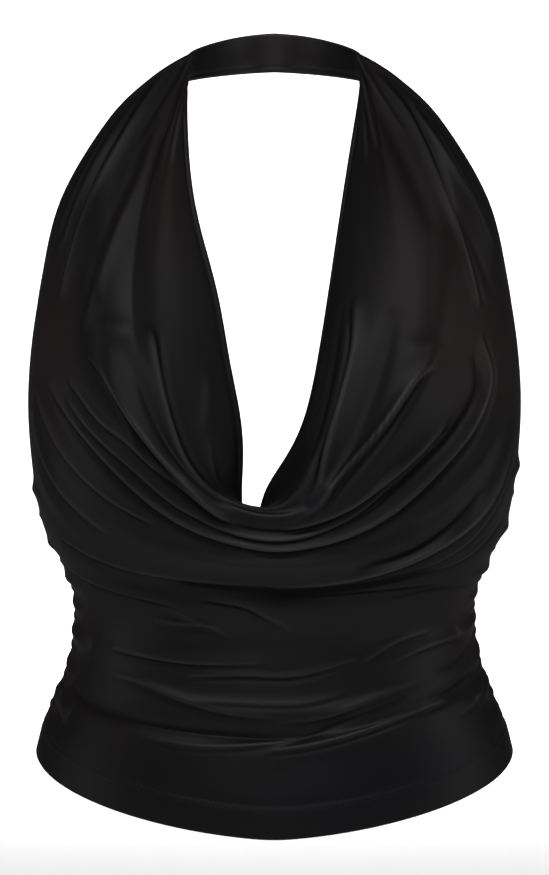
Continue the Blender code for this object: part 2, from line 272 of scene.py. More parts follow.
@dataclass
class ClothGrid:
    """A panel's middle surface, as lines of points from the hem up.

    Attributes:
        points: the points in mm, shaped (lines, columns, 3).
        across: each column's place, from -1 to 1.
        rows: each line's row number.
        outward_sign: 1 if the columns run left to right as seen from outside, and -1 if not.
        tone: at each point the painted highlight and shade of its creases, its painted lightness and its painted
            warmth.
    """

    points: np.ndarray
    across: np.ndarray
    rows: np.ndarray
    outward_sign: int = 1
    tone: np.ndarray = field(init=False)

    STRETCHES: ClassVar[int] = 36
    LAYER_ROWS: ClassVar[float] = 2.4
    EDGE_FADE: ClassVar[float] = 0.06
    MIDDLE: ClassVar[float] = 0.12
    EASING: ClassVar[int] = 12

    @staticmethod
    def columns_across(count: int, crowding: float) -> np.ndarray:
        """The columns' places from -1 to 1, closer together near both ends by a share of the even step."""
        even = np.linspace(-1, 1, count)
        return even + crowding * np.sin(np.pi * even) / np.pi

    def __post_init__(self) -> None:
        """Starts with an even tone."""
        self.tone = np.zeros(self.points.shape)

    def normals(self) -> np.ndarray:
        """Unit normals on the worn side.

        Returns:
            One for each point, shaped as the points are.
        """
        over = np.gradient(self.points, axis=1)
        up = np.gradient(self.points, axis=0)
        normal = self.outward_sign * np.cross(over, up)
        return normal / np.maximum(np.linalg.norm(normal, axis=2, keepdims=True), 1e-9)

    def upward(self) -> np.ndarray:
        """Unit directions along the cloth towards the next line."""
        up = np.gradient(self.points, axis=0)
        return up / np.maximum(np.linalg.norm(up, axis=2, keepdims=True), 1e-9)

    def ease_middle(self) -> None:
        """Rounds off the slight point where the two halves meet at the middle column."""
        reach = np.abs(self.across) / self.MIDDLE
        weight = np.exp(-(reach**2))[None, :, None]
        eased = self.points
        for _ in range(self.EASING):
            spread = np.pad(eased, ((0, 0), (1, 1), (0, 0)), mode="edge")
            eased = (1 - weight) * eased + weight * (spread[:, :-2] + eased + spread[:, 2:]) / 3
        self.points = eased

    def read(self, places: np.ndarray) -> np.ndarray:
        """Points at places between the grid's own.

        Args:
            places: across and row number pairs, shaped (count, 2).

        Returns:
            Points shaped (count, 3).
        """
        column = np.interp(places[:, 0], self.across, np.arange(len(self.across)))
        line = np.interp(places[:, 1], self.rows, np.arange(len(self.rows)))
        c = np.clip(column.astype(int), 0, len(self.across) - 2)
        r = np.clip(line.astype(int), 0, len(self.rows) - 2)
        u, v = (column - c)[:, None], (line - r)[:, None]
        low = (1 - u) * self.points[r, c] + u * self.points[r, c + 1]
        high = (1 - u) * self.points[r + 1, c] + u * self.points[r + 1, c + 1]
        return (1 - v) * low + v * high

    def lay(self, creases: Sequence[Crease]) -> None:
        """Lays creases on the cloth, each measured along the surface from its own line.

        Args:
            creases: what to lay, all on the surface as it is now.
        """
        rise = np.zeros(self.points.shape[:2])
        slide = np.zeros(self.points.shape[:2])
        edge = smooth_step((1 - np.abs(self.across)) / self.EDGE_FADE)[None, :]
        for crease in creases:
            places = through(crease.path, np.linspace(0, len(crease.path) - 1, self.STRETCHES + 1))
            near = np.abs(self.rows - np.clip(self.rows, places[:, 1].min(), places[:, 1].max())) < self.LAYER_ROWS
            gap, share = nearest_on(self.read(places), self.points[near])
            own_row = np.interp(share, np.linspace(0, 1, len(places)), places[:, 1])
            above = self.rows[near][:, None] - own_row
            layer = smooth_step(2 * (1 - np.abs(above) / self.LAYER_ROWS))
            strength = np.sin(np.pi * share) ** crease.taper
            shape = layer * strength * crease.profile(gap, above)
            if not crease.to_edge:
                shape = shape * edge
            rise[near] += crease.rise * shape
            slide[near] += crease.lean * shape
            # channel 0 gathers each crease's painted highlight on its crest and painted shade in its tuck
            self.tone[near, :, 0] += layer * strength * crease.painted_crest_light(gap, above)
        self.tone[..., 0] = np.clip(self.tone[..., 0], -1.0, 1.0)
        self.points = self.points + rise[..., None] * self.normals() - slide[..., None] * self.upward()

    def tint(self, patches: Sequence[Patch]) -> None:
        """Adds patches of painted light, shade and warmth to the cloth.

        Args:
            patches: what to add; where they meet they add up.
        """
        for patch in patches:
            share = fading(self.across, self.rows, patch.place, patch.reach)
            self.tone[..., 1:] += share[..., None] * np.array([patch.light, patch.warmth])

    def along_rows(self) -> np.ndarray:
        """Distance along each line from the middle column.

        Returns:
            Distances in mm, shaped (lines, columns).
        """
        steps = np.linalg.norm(np.diff(self.points, axis=1), axis=2)
        run = np.concatenate([np.zeros((len(self.rows), 1)), np.cumsum(steps, axis=1)], axis=1)
        return run - run[:, len(self.across) // 2][:, None]

    def up_columns(self) -> np.ndarray:
        """Distance up each column from the first line, in mm."""
        steps = np.linalg.norm(np.diff(self.points, axis=0), axis=2)
        return np.concatenate([np.zeros((1, len(self.across))), np.cumsum(steps, axis=0)], axis=0)

    def from_edge(self, edge: Edge) -> np.ndarray:
        """Distance of each point from a border along the cloth.

        Args:
            edge: the border.

        Returns:
            Distances in mm, shaped (lines, columns).
        """
        if edge is Edge.HEM:
            return self.up_columns()
        if edge is Edge.NECKLINE:
            run = self.up_columns()
            return run[-1][None, :] - run
        run = self.along_rows()
        return run - run[:, :1] if edge is Edge.RIGHT_SIDE else run[:, -1:] - run


@dataclass(frozen=True)
class Turning:
    """A border of a panel that is turned under and stitched.

    Attributes:
        edge: the border.
        depth: width of the turned cloth in mm, from the border to the stitching.
        extra: thickness that the turned cloth adds, in mm.
        dent: how deep the stitching pulls the cloth in, in mm.
        from_row: the first row that is turned.
    """

    edge: Edge
    depth: float
    extra: float
    dent: float
    from_row: float = 0.0

    STEP: ClassVar[float] = 1.6
    START_ROWS: ClassVar[float] = 0.3

    def share(self, grid: ClothGrid) -> np.ndarray:
        """How much of the turning lies at each point, 0 to 1, by row."""
        return smooth_step((grid.rows - self.from_row) / self.START_ROWS + 1.0)[:, None]

    def thickness(self, grid: ClothGrid) -> np.ndarray:
        """The thickness that it adds at each point, in mm."""
        inside = smooth_step((self.depth - grid.from_edge(self.edge)) / self.STEP + 0.5)
        return self.extra * inside * self.share(grid)

    def press(self, grid: ClothGrid) -> None:
        """Pulls the cloth in along the stitching.

        Args:
            grid: the cloth, which is changed.
        """
        gap = (grid.from_edge(self.edge) - self.depth) / self.STEP
        dent = self.dent * np.exp(-(gap**2)) * self.share(grid)
        grid.points = grid.points - dent[..., None] * grid.normals()


# ---------------------------------------------------------------------------------------------------------------
# Meshes
# ---------------------------------------------------------------------------------------------------------------


def finished_object(name: str, mesh: bpy.types.Mesh, material: bpy.types.Material) -> bpy.types.Object:
    """Links a mesh as a piece of the garment.

    Args:
        name: the piece's name.
        mesh: its mesh, in metres.
        material: its finish.

    Returns:
        The object, riding on the garment's only body.
    """
    mesh.materials.append(material)
    mesh.shade_smooth()
    piece = bpy.data.objects.new(name, mesh)
    bpy.context.scene.collection.objects.link(piece)
    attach(piece, "root")
    return piece


@dataclass
class ThinShell:
    """A grid of cloth made into a closed shell with round edges.

    Attributes:
        name: the mesh's name.
        grid: the cloth's middle surface.
        thickness: thickness at each point of the grid, in mm.
        inner_step: grid steps in one step of the inner face; 1 or 2, and the grid's own steps divide by it.
    """

    name: str
    grid: ClothGrid
    thickness: np.ndarray
    inner_step: int = 1

    SMOOTHING: ClassVar[int] = 7
    CLEARANCE: ClassVar[int] = 5
    INNER_TONE: ClassVar[Point] = (0.0, 1.0, 1.0)  # only the outer face takes the creases' painted highlight and shade; both faces take the patches' painted light and warmth

    @staticmethod
    def border(lines: int, columns: int) -> list[tuple[int, int]]:
        """The border's places in order.

        Args:
            lines: how many lines the grid has.
            columns: how many columns it has.

        Returns:
            Line and column numbers, each place once.
        """
        loop = [(0, c) for c in range(columns)]
        loop += [(r, columns - 1) for r in range(1, lines)]
        loop += [(lines - 1, c) for c in range(columns - 2, -1, -1)]
        return loop + [(r, 0) for r in range(lines - 2, 0, -1)]

    @staticmethod
    def quads(lines: int, columns: int) -> np.ndarray:
        """The faces of a grid.

        Args:
            lines: how many lines the grid has.
            columns: how many columns it has.

        Returns:
            Four point numbers for each face.
        """
        number = np.arange(lines * columns).reshape(lines, columns)
        corners = [number[:-1, :-1], number[:-1, 1:], number[1:, 1:], number[1:, :-1]]
        return np.stack(corners, axis=-1).reshape(-1, 4)

    def inner_points(self) -> np.ndarray:
        """The inner face's points.

        Returns:
            Points shaped (lines, columns, 3). Where the inner face has coarser steps than the outer one, it is also
            smoother, and it is sunk as far as that takes to stay clear of the outer face.
        """
        normals = self.grid.normals()
        outer = self.grid.points + normals * (self.thickness / 2)[..., None]
        inner = outer - normals * self.thickness[..., None]
        if self.inner_step == 1:
            return inner
        chord = outer.copy()
        chord[1:-1:2] = (chord[:-2:2] + chord[2::2]) / 2
        chord[:, 1:-1:2] = (chord[:, :-2:2] + chord[:, 2::2]) / 2
        dip = np.maximum(((chord - outer) * normals).sum(axis=2), 0.0)
        lines, columns = dip.shape
        line, column = np.arange(lines)[:, None], np.arange(columns)[None, :]
        from_border = np.minimum(np.minimum(line, lines - 1 - line), np.minimum(column, columns - 1 - column))
        smooth = inner + smooth_step(from_border / self.SMOOTHING)[..., None] * (self.evened(inner) - inner)
        lift = ((smooth - inner) * normals).sum(axis=2)
        deepest = self.around(np.maximum(lift + dip, 0.0), self.CLEARANCE).max(axis=0)
        sunk = self.around(deepest, self.SMOOTHING).mean(axis=0)
        inward = -self.evened(normals)
        inward = inward / np.maximum(np.linalg.norm(inward, axis=2, keepdims=True), 1e-9)
        return (smooth + inward * sunk[..., None])[::2, ::2]

    def evened(self, vectors: np.ndarray) -> np.ndarray:
        """The mean of each vector and its neighbours."""
        return np.stack([self.around(vectors[..., k], self.SMOOTHING).mean(axis=0) for k in range(3)], axis=-1)

    @staticmethod
    def around(values: np.ndarray, window: int) -> np.ndarray:
        """Each point's neighbours in a square window.

        Args:
            values: a value for each point, shaped (lines, columns).
            window: the window's side in points, an odd number.

        Returns:
            The neighbours' values, shaped (window * window, lines, columns).
        """
        lines, columns = values.shape
        near = np.pad(values, window // 2, mode="edge")
        return np.stack([near[r:r + lines, c:c + columns] for r in range(window) for c in range(window)])

    def rim(self, loop: list[tuple[int, int]]) -> np.ndarray:
        """Points half a thickness outside the border, which round the edge off.

        Args:
            loop: the border's places in order.

        Returns:
            One point for each place.
        """
        points = self.grid.points
        lines, columns = points.shape[:2]
        rim = []
        for r, c in loop:
            inner = points[min(max(r, 1), lines - 2), min(max(c, 1), columns - 2)]
            outward = points[r, c] - inner
            outward = outward / max(float(np.linalg.norm(outward)), 1e-9)
            rim.append(points[r, c] + outward * self.thickness[r, c] / 2)
        return np.array(rim)

    def mesh(self) -> bpy.types.Mesh:
        """Builds the shell.

        Returns:
            A closed mesh in metres, with a UV map in metres along the cloth and its painted highlight, shade and
            warmth at each vertex.
        """
        grid, step = self.grid, self.inner_step
        lines, columns = grid.points.shape[:2]
        outer = grid.points + grid.normals() * (self.thickness / 2)[..., None]
        inner = self.inner_points()
        inner_lines, inner_columns = inner.shape[:2]
        loop = self.border(lines, columns)
        verts = np.concatenate([outer.reshape(-1, 3), inner.reshape(-1, 3), self.rim(loop)])
        edge = np.array([r * columns + c for r, c in loop])
        first_inner, first_rim = lines * columns, lines * columns + inner_lines * inner_columns
        rim = first_rim + np.arange(len(loop))
        inner_border = self.border(inner_lines, inner_columns)
        inner_edge = np.array([r * inner_columns + c for r, c in inner_border]) + first_inner
        faces = self.quads(lines, columns).tolist()
        faces += (self.quads(inner_lines, inner_columns)[:, ::-1] + first_inner).tolist()
        faces += np.stack([edge, rim, np.roll(rim, -1), np.roll(edge, -1)], axis=-1).tolist()
        for index, (start, end) in enumerate(zip(inner_edge, np.roll(inner_edge, -1))):
            along_rim = [int(rim[(index * step + k) % len(rim)]) for k in range(step + 1)]
            faces.append([along_rim[0], int(start), int(end), *along_rim[:0:-1]])
        if grid.outward_sign < 0:
            faces = [face[::-1] for face in faces]
        mesh = bpy.data.meshes.new(self.name)
        mesh.from_pydata((verts * MM).tolist(), [], faces)
        run = np.stack([grid.along_rows(), grid.up_columns()], axis=-1) * MM
        along = np.concatenate([part.reshape(-1, 2) for part in (run, run[::step, ::step], run.reshape(-1, 2)[edge])])
        layer = mesh.uv_layers.new(name="cloth")
        corners = np.empty(len(mesh.loops), int)
        mesh.loops.foreach_get("vertex_index", corners)
        layer.data.foreach_set("uv", along[corners].ravel())
        inner_tone = grid.tone[::step, ::step] * self.INNER_TONE
        tone = [grid.tone.reshape(-1, 3), inner_tone.reshape(-1, 3), grid.tone.reshape(-1, 3)[edge]]
        tone = np.concatenate(tone)
        mesh.attributes.new("painted_cloth_light", "FLOAT_VECTOR", "POINT").data.foreach_set("vector", tone.ravel())
        mesh.update()
        return mesh


@dataclass(frozen=True)
class Stitching:
    """A run of sewing stitches on a piece's outer face.

    Attributes:
        name: the piece's name.
        length: length of one stitch, in mm.
        space: gap between stitches, in mm.
        thread: the thread's radius, in mm.
    """

    name: str
    length: float = 2.3
    space: float = 0.8
    thread: float = 0.19

    SIDES: ClassVar[int] = 6
    LOOK_AHEAD: ClassVar[float] = 0.5
    ROUNDS: ClassVar[tuple[Point, ...]] = (
        (-0.5, 0.25, -0.9), (-0.38, 0.8, -0.2), (0.0, 1.0, 0.25), (0.38, 0.8, -0.2), (0.5, 0.25, -0.9),
    )

    def mesh(self, path: np.ndarray, normals: np.ndarray) -> bpy.types.Mesh:
        """Builds every stitch along a path as one joined mesh.

        Args:
            path: points on the cloth's outer face in mm, in order.
            normals: the cloth's unit normal at each of them.

        Returns:
            The mesh, in metres.
        """
        run = np.concatenate([[0.0], np.cumsum(np.linalg.norm(np.diff(path, axis=0), axis=1))])
        pitch = self.length + self.space
        middles = np.arange(pitch / 2, run[-1] - pitch / 2, pitch)
        angles = np.linspace(0, 2 * np.pi, self.SIDES, endpoint=False)
        verts: list[np.ndarray] = []
        faces: list[list[int]] = []
        for middle in middles:
            base = len(verts) * self.SIDES
            for share, width, lift in self.ROUNDS:
                at = middle + share * self.length
                centre = np.array([np.interp(at, run, path[:, k]) for k in range(3)])
                ahead = np.array([np.interp(at + self.LOOK_AHEAD, run, path[:, k]) for k in range(3)])
                up = np.array([np.interp(at, run, normals[:, k]) for k in range(3)])
                up = up / np.linalg.norm(up)
                along = (ahead - centre) / max(float(np.linalg.norm(ahead - centre)), 1e-9)
                beside = np.cross(along, up)
                radius = self.thread * width
                ring = centre + up * self.thread * lift
                verts.append(ring + radius * (np.cos(angles)[:, None] * beside + np.sin(angles)[:, None] * up))
            for round_number in range(len(self.ROUNDS) - 1):
                low = base + round_number * self.SIDES
                for s in range(self.SIDES):
                    t = (s + 1) % self.SIDES
                    faces.append([low + s, low + t, low + self.SIDES + t, low + self.SIDES + s])
            last = base + (len(self.ROUNDS) - 1) * self.SIDES
            faces.append([base + s for s in range(self.SIDES - 1, -1, -1)])
            faces.append([last + s for s in range(self.SIDES)])
        mesh = bpy.data.meshes.new(self.name)
        mesh.from_pydata((np.concatenate(verts) * MM).tolist(), [], faces)
        mesh.update()
        return mesh


# ---------------------------------------------------------------------------------------------------------------
# Finishes
# ---------------------------------------------------------------------------------------------------------------


@dataclass
class NodeGroup:
    """A shader node group under construction, with short calls for its nodes and links.

    Attributes:
        name: the group's name.
        tree: the node tree.
    """

    name: str
    tree: bpy.types.NodeTree = field(init=False)

    def __post_init__(self) -> None:
        """Starts an empty group with its input and output nodes."""
        self.tree = bpy.data.node_groups.new(self.name, "ShaderNodeTree")
        self.entry = self.tree.nodes.new("NodeGroupInput")
        self.exit = self.tree.nodes.new("NodeGroupOutput")

    def takes(self, name: str, kind: str, default: float | tuple | None = None) -> bpy.types.NodeSocket:
        """Adds an input.

        Args:
            name: the input's name.
            kind: the socket's type.
            default: its value where nothing is linked.

        Returns:
            Its socket inside the group.
        """
        item = self.tree.interface.new_socket(name=name, in_out="INPUT", socket_type=kind)
        if default is not None:
            item.default_value = default
        return self.entry.outputs[name]

    def gives(self, name: str, kind: str, value: bpy.types.NodeSocket) -> None:
        """Adds an output that carries value."""
        self.tree.interface.new_socket(name=name, in_out="OUTPUT", socket_type=kind)
        self.tree.links.new(value, self.exit.inputs[name])

    def math(self, operation: str, a: object, b: object = 0.0, c: object = 0.0) -> bpy.types.NodeSocket:
        """Adds a Math node.

        Args:
            operation: what it does.
            a, b, c: sockets or numbers, as many as it needs.

        Returns:
            Its result.
        """
        node = self.tree.nodes.new("ShaderNodeMath")
        node.operation = operation
        for socket, value in zip(node.inputs, (a, b, c)):
            self.feed(socket, value)
        return node.outputs[0]

    def node(self, kind: str, **inputs: object) -> bpy.types.Node:
        """Adds a node and feeds its inputs.

        Args:
            kind: the node's type.
            **inputs: sockets or values by the inputs' names, with spaces written as underscores.

        Returns:
            The node.
        """
        node = self.tree.nodes.new(kind)
        for key, value in inputs.items():
            self.feed(node.inputs[key.replace("_", " ")], value)
        return node

    def feed(self, socket: bpy.types.NodeSocket, value: object) -> None:
        """Links a socket to an output, or sets its value.

        Args:
            socket: the input.
            value: an output socket, or a value.
        """
        if isinstance(value, bpy.types.NodeSocket):
            self.tree.links.new(value, socket)
        else:
            socket.default_value = value


class JerseyEffects:
    """The node groups that both jersey finishes use, each built once."""

    LOOP_SLANT: ClassVar[float] = 0.35
    COURSES_PER_WALE: ClassVar[float] = 1.3
    LOOP_DEPTH: ClassVar[float] = 0.25
    DYE_CONTRAST: ClassVar[float] = 1.6
    NOISE_LOW: ClassVar[float] = 0.3
    NOISE_HIGH: ClassVar[float] = 0.7
    LUSTRE_OFFSET: ClassVar[Point] = (0.37, 0.11, 0.53)  # keeps the patches of lustre apart from those of dye

    def __init__(self) -> None:
        """Builds the groups."""
        self.knit = self.build_knit()
        self.crinkle = self.build_crinkle()
        self.tone = self.build_tone()

    def build_knit(self) -> bpy.types.NodeTree:
        """Fine plain knit: upright wales of small V-shaped loops.

        Returns:
            A group from cloth coordinates and Pitch, both in metres, to Height from 0 to 1.
        """
        group = NodeGroup("jersey_knit")
        place = group.takes("Cloth Coordinates", "NodeSocketVector")
        pitch = group.takes("Pitch", "NodeSocketFloat", 0.0006)
        split = group.node("ShaderNodeSeparateXYZ", Vector=place)
        wale = group.math("DIVIDE", split.outputs["X"], pitch)
        course = group.math("DIVIDE", split.outputs["Y"], pitch)
        ridge = group.math("ABSOLUTE", group.math("SINE", group.math("MULTIPLY", wale, np.pi)))
        courses = group.math("MULTIPLY", course, self.COURSES_PER_WALE)
        slant = group.math("MULTIPLY_ADD", ridge, self.LOOP_SLANT, courses)
        loop = group.math("SINE", group.math("MULTIPLY", slant, 2 * np.pi))
        depth = group.math("MULTIPLY_ADD", loop, self.LOOP_DEPTH, 1 - self.LOOP_DEPTH)
        height = group.math("MULTIPLY", ridge, depth)
        group.gives("Height", "NodeSocketFloat", height)
        return group.tree

    def build_crinkle(self) -> bpy.types.NodeTree:
        """Small uneven creases that run along the cloth's rows.

        Returns:
            A group from cloth coordinates, Length and Width in metres to Height from 0 to 1.
        """
        group = NodeGroup("jersey_crinkle")
        place = group.takes("Cloth Coordinates", "NodeSocketVector")
        length = group.takes("Length", "NodeSocketFloat", 0.09)
        width = group.takes("Width", "NodeSocketFloat", 0.008)
        split = group.node("ShaderNodeSeparateXYZ", Vector=place)
        stretched = group.node(
            "ShaderNodeCombineXYZ",
            X=group.math("DIVIDE", split.outputs["X"], length),
            Y=group.math("DIVIDE", split.outputs["Y"], width),
        )
        noise = group.node("ShaderNodeTexNoise", Vector=stretched.outputs[0], Scale=1.0, Detail=2.0, Roughness=0.45,
                           Distortion=0.35)
        group.gives("Height", "NodeSocketFloat", noise.outputs[0])
        return group.tree

    def build_tone(self) -> bpy.types.NodeTree:
        """Uneven depth of dye and of lustre over the cloth, with the cloth's painted highlight, shade and warmth laid
        on its colour and its gloss.

        Returns:
            A group from a position, the cloth's painted light, Patch size, three colours, a roughness range, the
            strength of the gloss and the strengths of the painted crest highlight and tuck shade to Color, Roughness
            and Gloss.
        """
        group = NodeGroup("jersey_tone_and_painted_light")
        place = group.takes("Position", "NodeSocketVector")
        tone = group.takes("Painted Cloth Light", "NodeSocketVector")
        patch = group.takes("Patch", "NodeSocketFloat", 0.12)
        base = group.takes("Base", "NodeSocketColor", (0.01, 0.01, 0.01, 1.0))
        warm = group.takes("Warm", "NodeSocketColor", (0.02, 0.01, 0.01, 1.0))
        cool = group.takes("Cool", "NodeSocketColor", (0.01, 0.01, 0.02, 1.0))
        low = group.takes("Smoothest", "NodeSocketFloat", 0.4)
        high = group.takes("Roughest", "NodeSocketFloat", 0.5)
        gloss = group.takes("Gloss", "NodeSocketFloat", 0.05)
        # how far the painted highlight brightens crests and the painted shade darkens tucks
        crest = group.takes("Painted Crest Highlight", "NodeSocketFloat", 1.5)
        tuck = group.takes("Painted Tuck Shade", "NodeSocketFloat", 0.7)
        split = group.node("ShaderNodeSeparateXYZ", Vector=tone)
        painted_crest_light, light, painted_warmth = split.outputs
        scale = group.math("DIVIDE", 1.0, patch)
        broad = group.node("ShaderNodeTexNoise", Vector=place, Scale=scale, Detail=2.0, Roughness=0.5)
        moved = group.node("ShaderNodeVectorMath")
        moved.operation = "ADD"
        group.feed(moved.inputs[0], place)
        moved.inputs[1].default_value = self.LUSTRE_OFFSET
        other = group.node("ShaderNodeTexNoise", Vector=moved.outputs[0], Scale=scale, Detail=1.0, Roughness=0.5)
        uneven = group.math("MULTIPLY_ADD", broad.outputs[0], self.DYE_CONTRAST, -self.DYE_CONTRAST / 2)
        # the tint mixes the dye's random lean with the painted warmth of lit places and coolness of shaded ones
        warmth = group.math("ADD", painted_warmth, uneven)
        coolness = group.math("MULTIPLY", warmth, -1.0)
        first = group.tree.nodes.new("ShaderNodeMix")
        second = group.tree.nodes.new("ShaderNodeMix")
        for mix in (first, second):
            mix.data_type = "RGBA"
            mix.clamp_factor = True
        group.feed(first.inputs["Factor"], warmth)
        group.feed(self.colour_in(first, "A"), base)
        group.feed(self.colour_in(first, "B"), warm)
        group.feed(second.inputs["Factor"], coolness)
        group.feed(self.colour_in(second, "A"), self.colour_out(first))
        group.feed(self.colour_in(second, "B"), cool)
        rough = group.node("ShaderNodeMapRange", Value=other.outputs[0], From_Min=self.NOISE_LOW,
                           From_Max=self.NOISE_HIGH, To_Min=low, To_Max=high)
        # the painted highlight and shade of the creases and patches scale the colour and the gloss
        painted_crest_gain = group.math("MULTIPLY_ADD", group.math("MAXIMUM", painted_crest_light, 0.0), crest, 1.0)
        painted_crest_gain = group.math("MULTIPLY_ADD", group.math("MINIMUM", painted_crest_light, 0.0), tuck, painted_crest_gain)
        strength = group.math("MULTIPLY", painted_crest_gain, group.math("ADD", light, 1.0))
        dye_with_painted_light = group.tree.nodes.new("ShaderNodeVectorMath")
        dye_with_painted_light.operation = "SCALE"
        group.feed(dye_with_painted_light.inputs[0], self.colour_out(second))
        group.feed(dye_with_painted_light.inputs["Scale"], strength)
        group.gives("Color", "NodeSocketColor", dye_with_painted_light.outputs[0])
        group.gives("Roughness", "NodeSocketFloat", rough.outputs[0])
        group.gives("Gloss", "NodeSocketFloat", group.math("MULTIPLY", gloss, strength))
        return group.tree

    @staticmethod
    def colour_in(mix: bpy.types.Node, name: str) -> bpy.types.NodeSocket:
        """The colour input of a Mix node with that name."""
        return next(s for s in mix.inputs if s.name == name and s.type == "RGBA")

    @staticmethod
    def colour_out(mix: bpy.types.Node) -> bpy.types.NodeSocket:
        """The colour output of a Mix node."""
        return next(s for s in mix.outputs if s.type == "RGBA")


@dataclass(frozen=True)
class JerseyFinish:
    """Black slinky jersey.

    Attributes:
        name: the material's name.
        base, warm, cool: the dye's colour and how it leans: at random, and towards warm under painted light and
            towards cool in painted shade.
        smoothest, roughest: range of roughness.
        specular: strength of the cloth's wide reflection.
        gloss, gloss_ior, gloss_roughness: the weak, narrower lustre of its smooth yarn.
        sheen, sheen_roughness: the soft glow of the knit seen from the side.
        knit_pitch: width of one wale, in metres.
        knit_height: depth of the knit, in metres.
        crinkle_length, crinkle_width, crinkle_height: size of the small creases, in metres.
        patch: size of the broad patches of uneven dye, in metres.
    """

    name: str
    base: Colour = (0.0026, 0.0024, 0.0025)
    warm: Colour = (0.0066, 0.0036, 0.0040)
    cool: Colour = (0.0018, 0.0021, 0.0048)
    smoothest: float = 0.58
    roughest: float = 0.68
    specular: float = 0.0
    gloss: float = 0.068
    gloss_ior: float = 2.4
    gloss_roughness: float = 0.46
    sheen: float = 0.005
    sheen_roughness: float = 0.45
    knit_pitch: float = 0.0006
    knit_height: float = 0.00006
    crinkle_length: float = 0.10
    crinkle_width: float = 0.010
    crinkle_height: float = 0.0004
    patch: float = 0.13

    SHEEN_TINT: ClassVar[tuple[float, ...]] = (1.0, 0.93, 0.92, 1.0)
    YARN_IOR: ClassVar[float] = 1.3

    def material(self, effects: JerseyEffects) -> bpy.types.Material:
        """Builds the material.

        Args:
            effects: the node groups it shares with the other jersey finish.

        Returns:
            The material.
        """
        material = bpy.data.materials.new(self.name)
        material.use_nodes = True
        nodes, links = material.node_tree.nodes, material.node_tree.links
        shader = nodes["Principled BSDF"]
        shader.inputs["Sheen Weight"].default_value = self.sheen
        shader.inputs["Sheen Roughness"].default_value = self.sheen_roughness
        shader.inputs["Sheen Tint"].default_value = self.SHEEN_TINT
        shader.inputs["Specular IOR Level"].default_value = self.specular
        shader.inputs["Coat IOR"].default_value = self.gloss_ior
        shader.inputs["Coat Roughness"].default_value = self.gloss_roughness
        shader.inputs["IOR"].default_value = self.YARN_IOR
        cloth = nodes.new("ShaderNodeUVMap")
        cloth.uv_map = "cloth"
        where = nodes.new("ShaderNodeTexCoord")
        tone = self.placed(nodes, effects.tone, Patch=self.patch, Base=(*self.base, 1.0), Warm=(*self.warm, 1.0),
                           Cool=(*self.cool, 1.0), Smoothest=self.smoothest, Roughest=self.roughest, Gloss=self.gloss)
        # the shell's painted highlight, shade and warmth at each vertex
        painted_light_attribute = nodes.new("ShaderNodeAttribute")
        painted_light_attribute.attribute_name = "painted_cloth_light"
        links.new(where.outputs["Object"], tone.inputs["Position"])
        links.new(painted_light_attribute.outputs["Vector"], tone.inputs["Painted Cloth Light"])
        links.new(tone.outputs["Color"], shader.inputs["Base Color"])
        links.new(tone.outputs["Roughness"], shader.inputs["Roughness"])
        links.new(tone.outputs["Gloss"], shader.inputs["Coat Weight"])
        crinkle = self.placed(nodes, effects.crinkle, Length=self.crinkle_length, Width=self.crinkle_width)
        knit = self.placed(nodes, effects.knit, Pitch=self.knit_pitch)
        links.new(cloth.outputs["UV"], crinkle.inputs["Cloth Coordinates"])
        links.new(cloth.outputs["UV"], knit.inputs["Cloth Coordinates"])
        large, small = nodes.new("ShaderNodeBump"), nodes.new("ShaderNodeBump")
        for bump, effect, height in ((large, crinkle, self.crinkle_height), (small, knit, self.knit_height)):
            bump.inputs["Distance"].default_value = height
            links.new(effect.outputs["Height"], bump.inputs["Height"])
        links.new(large.outputs["Normal"], small.inputs["Normal"])
        links.new(small.outputs["Normal"], shader.inputs["Normal"])
        return material

    @staticmethod
    def placed(nodes: bpy.types.Nodes, tree: bpy.types.NodeTree, **values: object) -> bpy.types.Node:
        """Places a group in the material.

        Args:
            nodes: the material's nodes.
            tree: the group.
            **values: the group's values by its inputs' names.

        Returns:
            The group's node.
        """
        node = nodes.new("ShaderNodeGroup")
        node.node_tree = tree
        for name, value in values.items():
            node.inputs[name].default_value = value
        return node


@dataclass(frozen=True)
class ThreadFinish:
    """Black polyester sewing thread with a slight twist.

    Attributes:
        name: the material's name.
        colour: its colour.
        roughness, specular: how dull it is.
        twist: length of one turn of the thread, in metres.
        twist_depth: depth between the turns, in metres.
    """

    name: str = "black_thread"
    colour: Colour = (0.0045, 0.0043, 0.0045)
    roughness: float = 0.5
    specular: float = 0.2
    twist: float = 0.0005
    twist_depth: float = 0.00005

    BANDS_PER_UNIT: ClassVar[float] = 20.0

    def material(self) -> bpy.types.Material:
        """Builds the material.

        Returns:
            The material.
        """
        material = bpy.data.materials.new(self.name)
        material.use_nodes = True
        nodes, links = material.node_tree.nodes, material.node_tree.links
        shader = nodes["Principled BSDF"]
        shader.inputs["Base Color"].default_value = (*self.colour, 1.0)
        shader.inputs["Roughness"].default_value = self.roughness
        shader.inputs["Specular IOR Level"].default_value = self.specular
        where = nodes.new("ShaderNodeTexCoord")
        wave = nodes.new("ShaderNodeTexWave")
        wave.bands_direction = "DIAGONAL"
        wave.inputs["Scale"].default_value = 1.0 / (self.BANDS_PER_UNIT * self.twist)
        bump = nodes.new("ShaderNodeBump")
        bump.inputs["Distance"].default_value = self.twist_depth
        links.new(where.outputs["Object"], wave.inputs["Vector"])
        links.new(wave.outputs["Fac"], bump.inputs["Height"])
        links.new(bump.outputs["Normal"], shader.inputs["Normal"])
        return material


# ---------------------------------------------------------------------------------------------------------------
# The four cut pieces
# ---------------------------------------------------------------------------------------------------------------


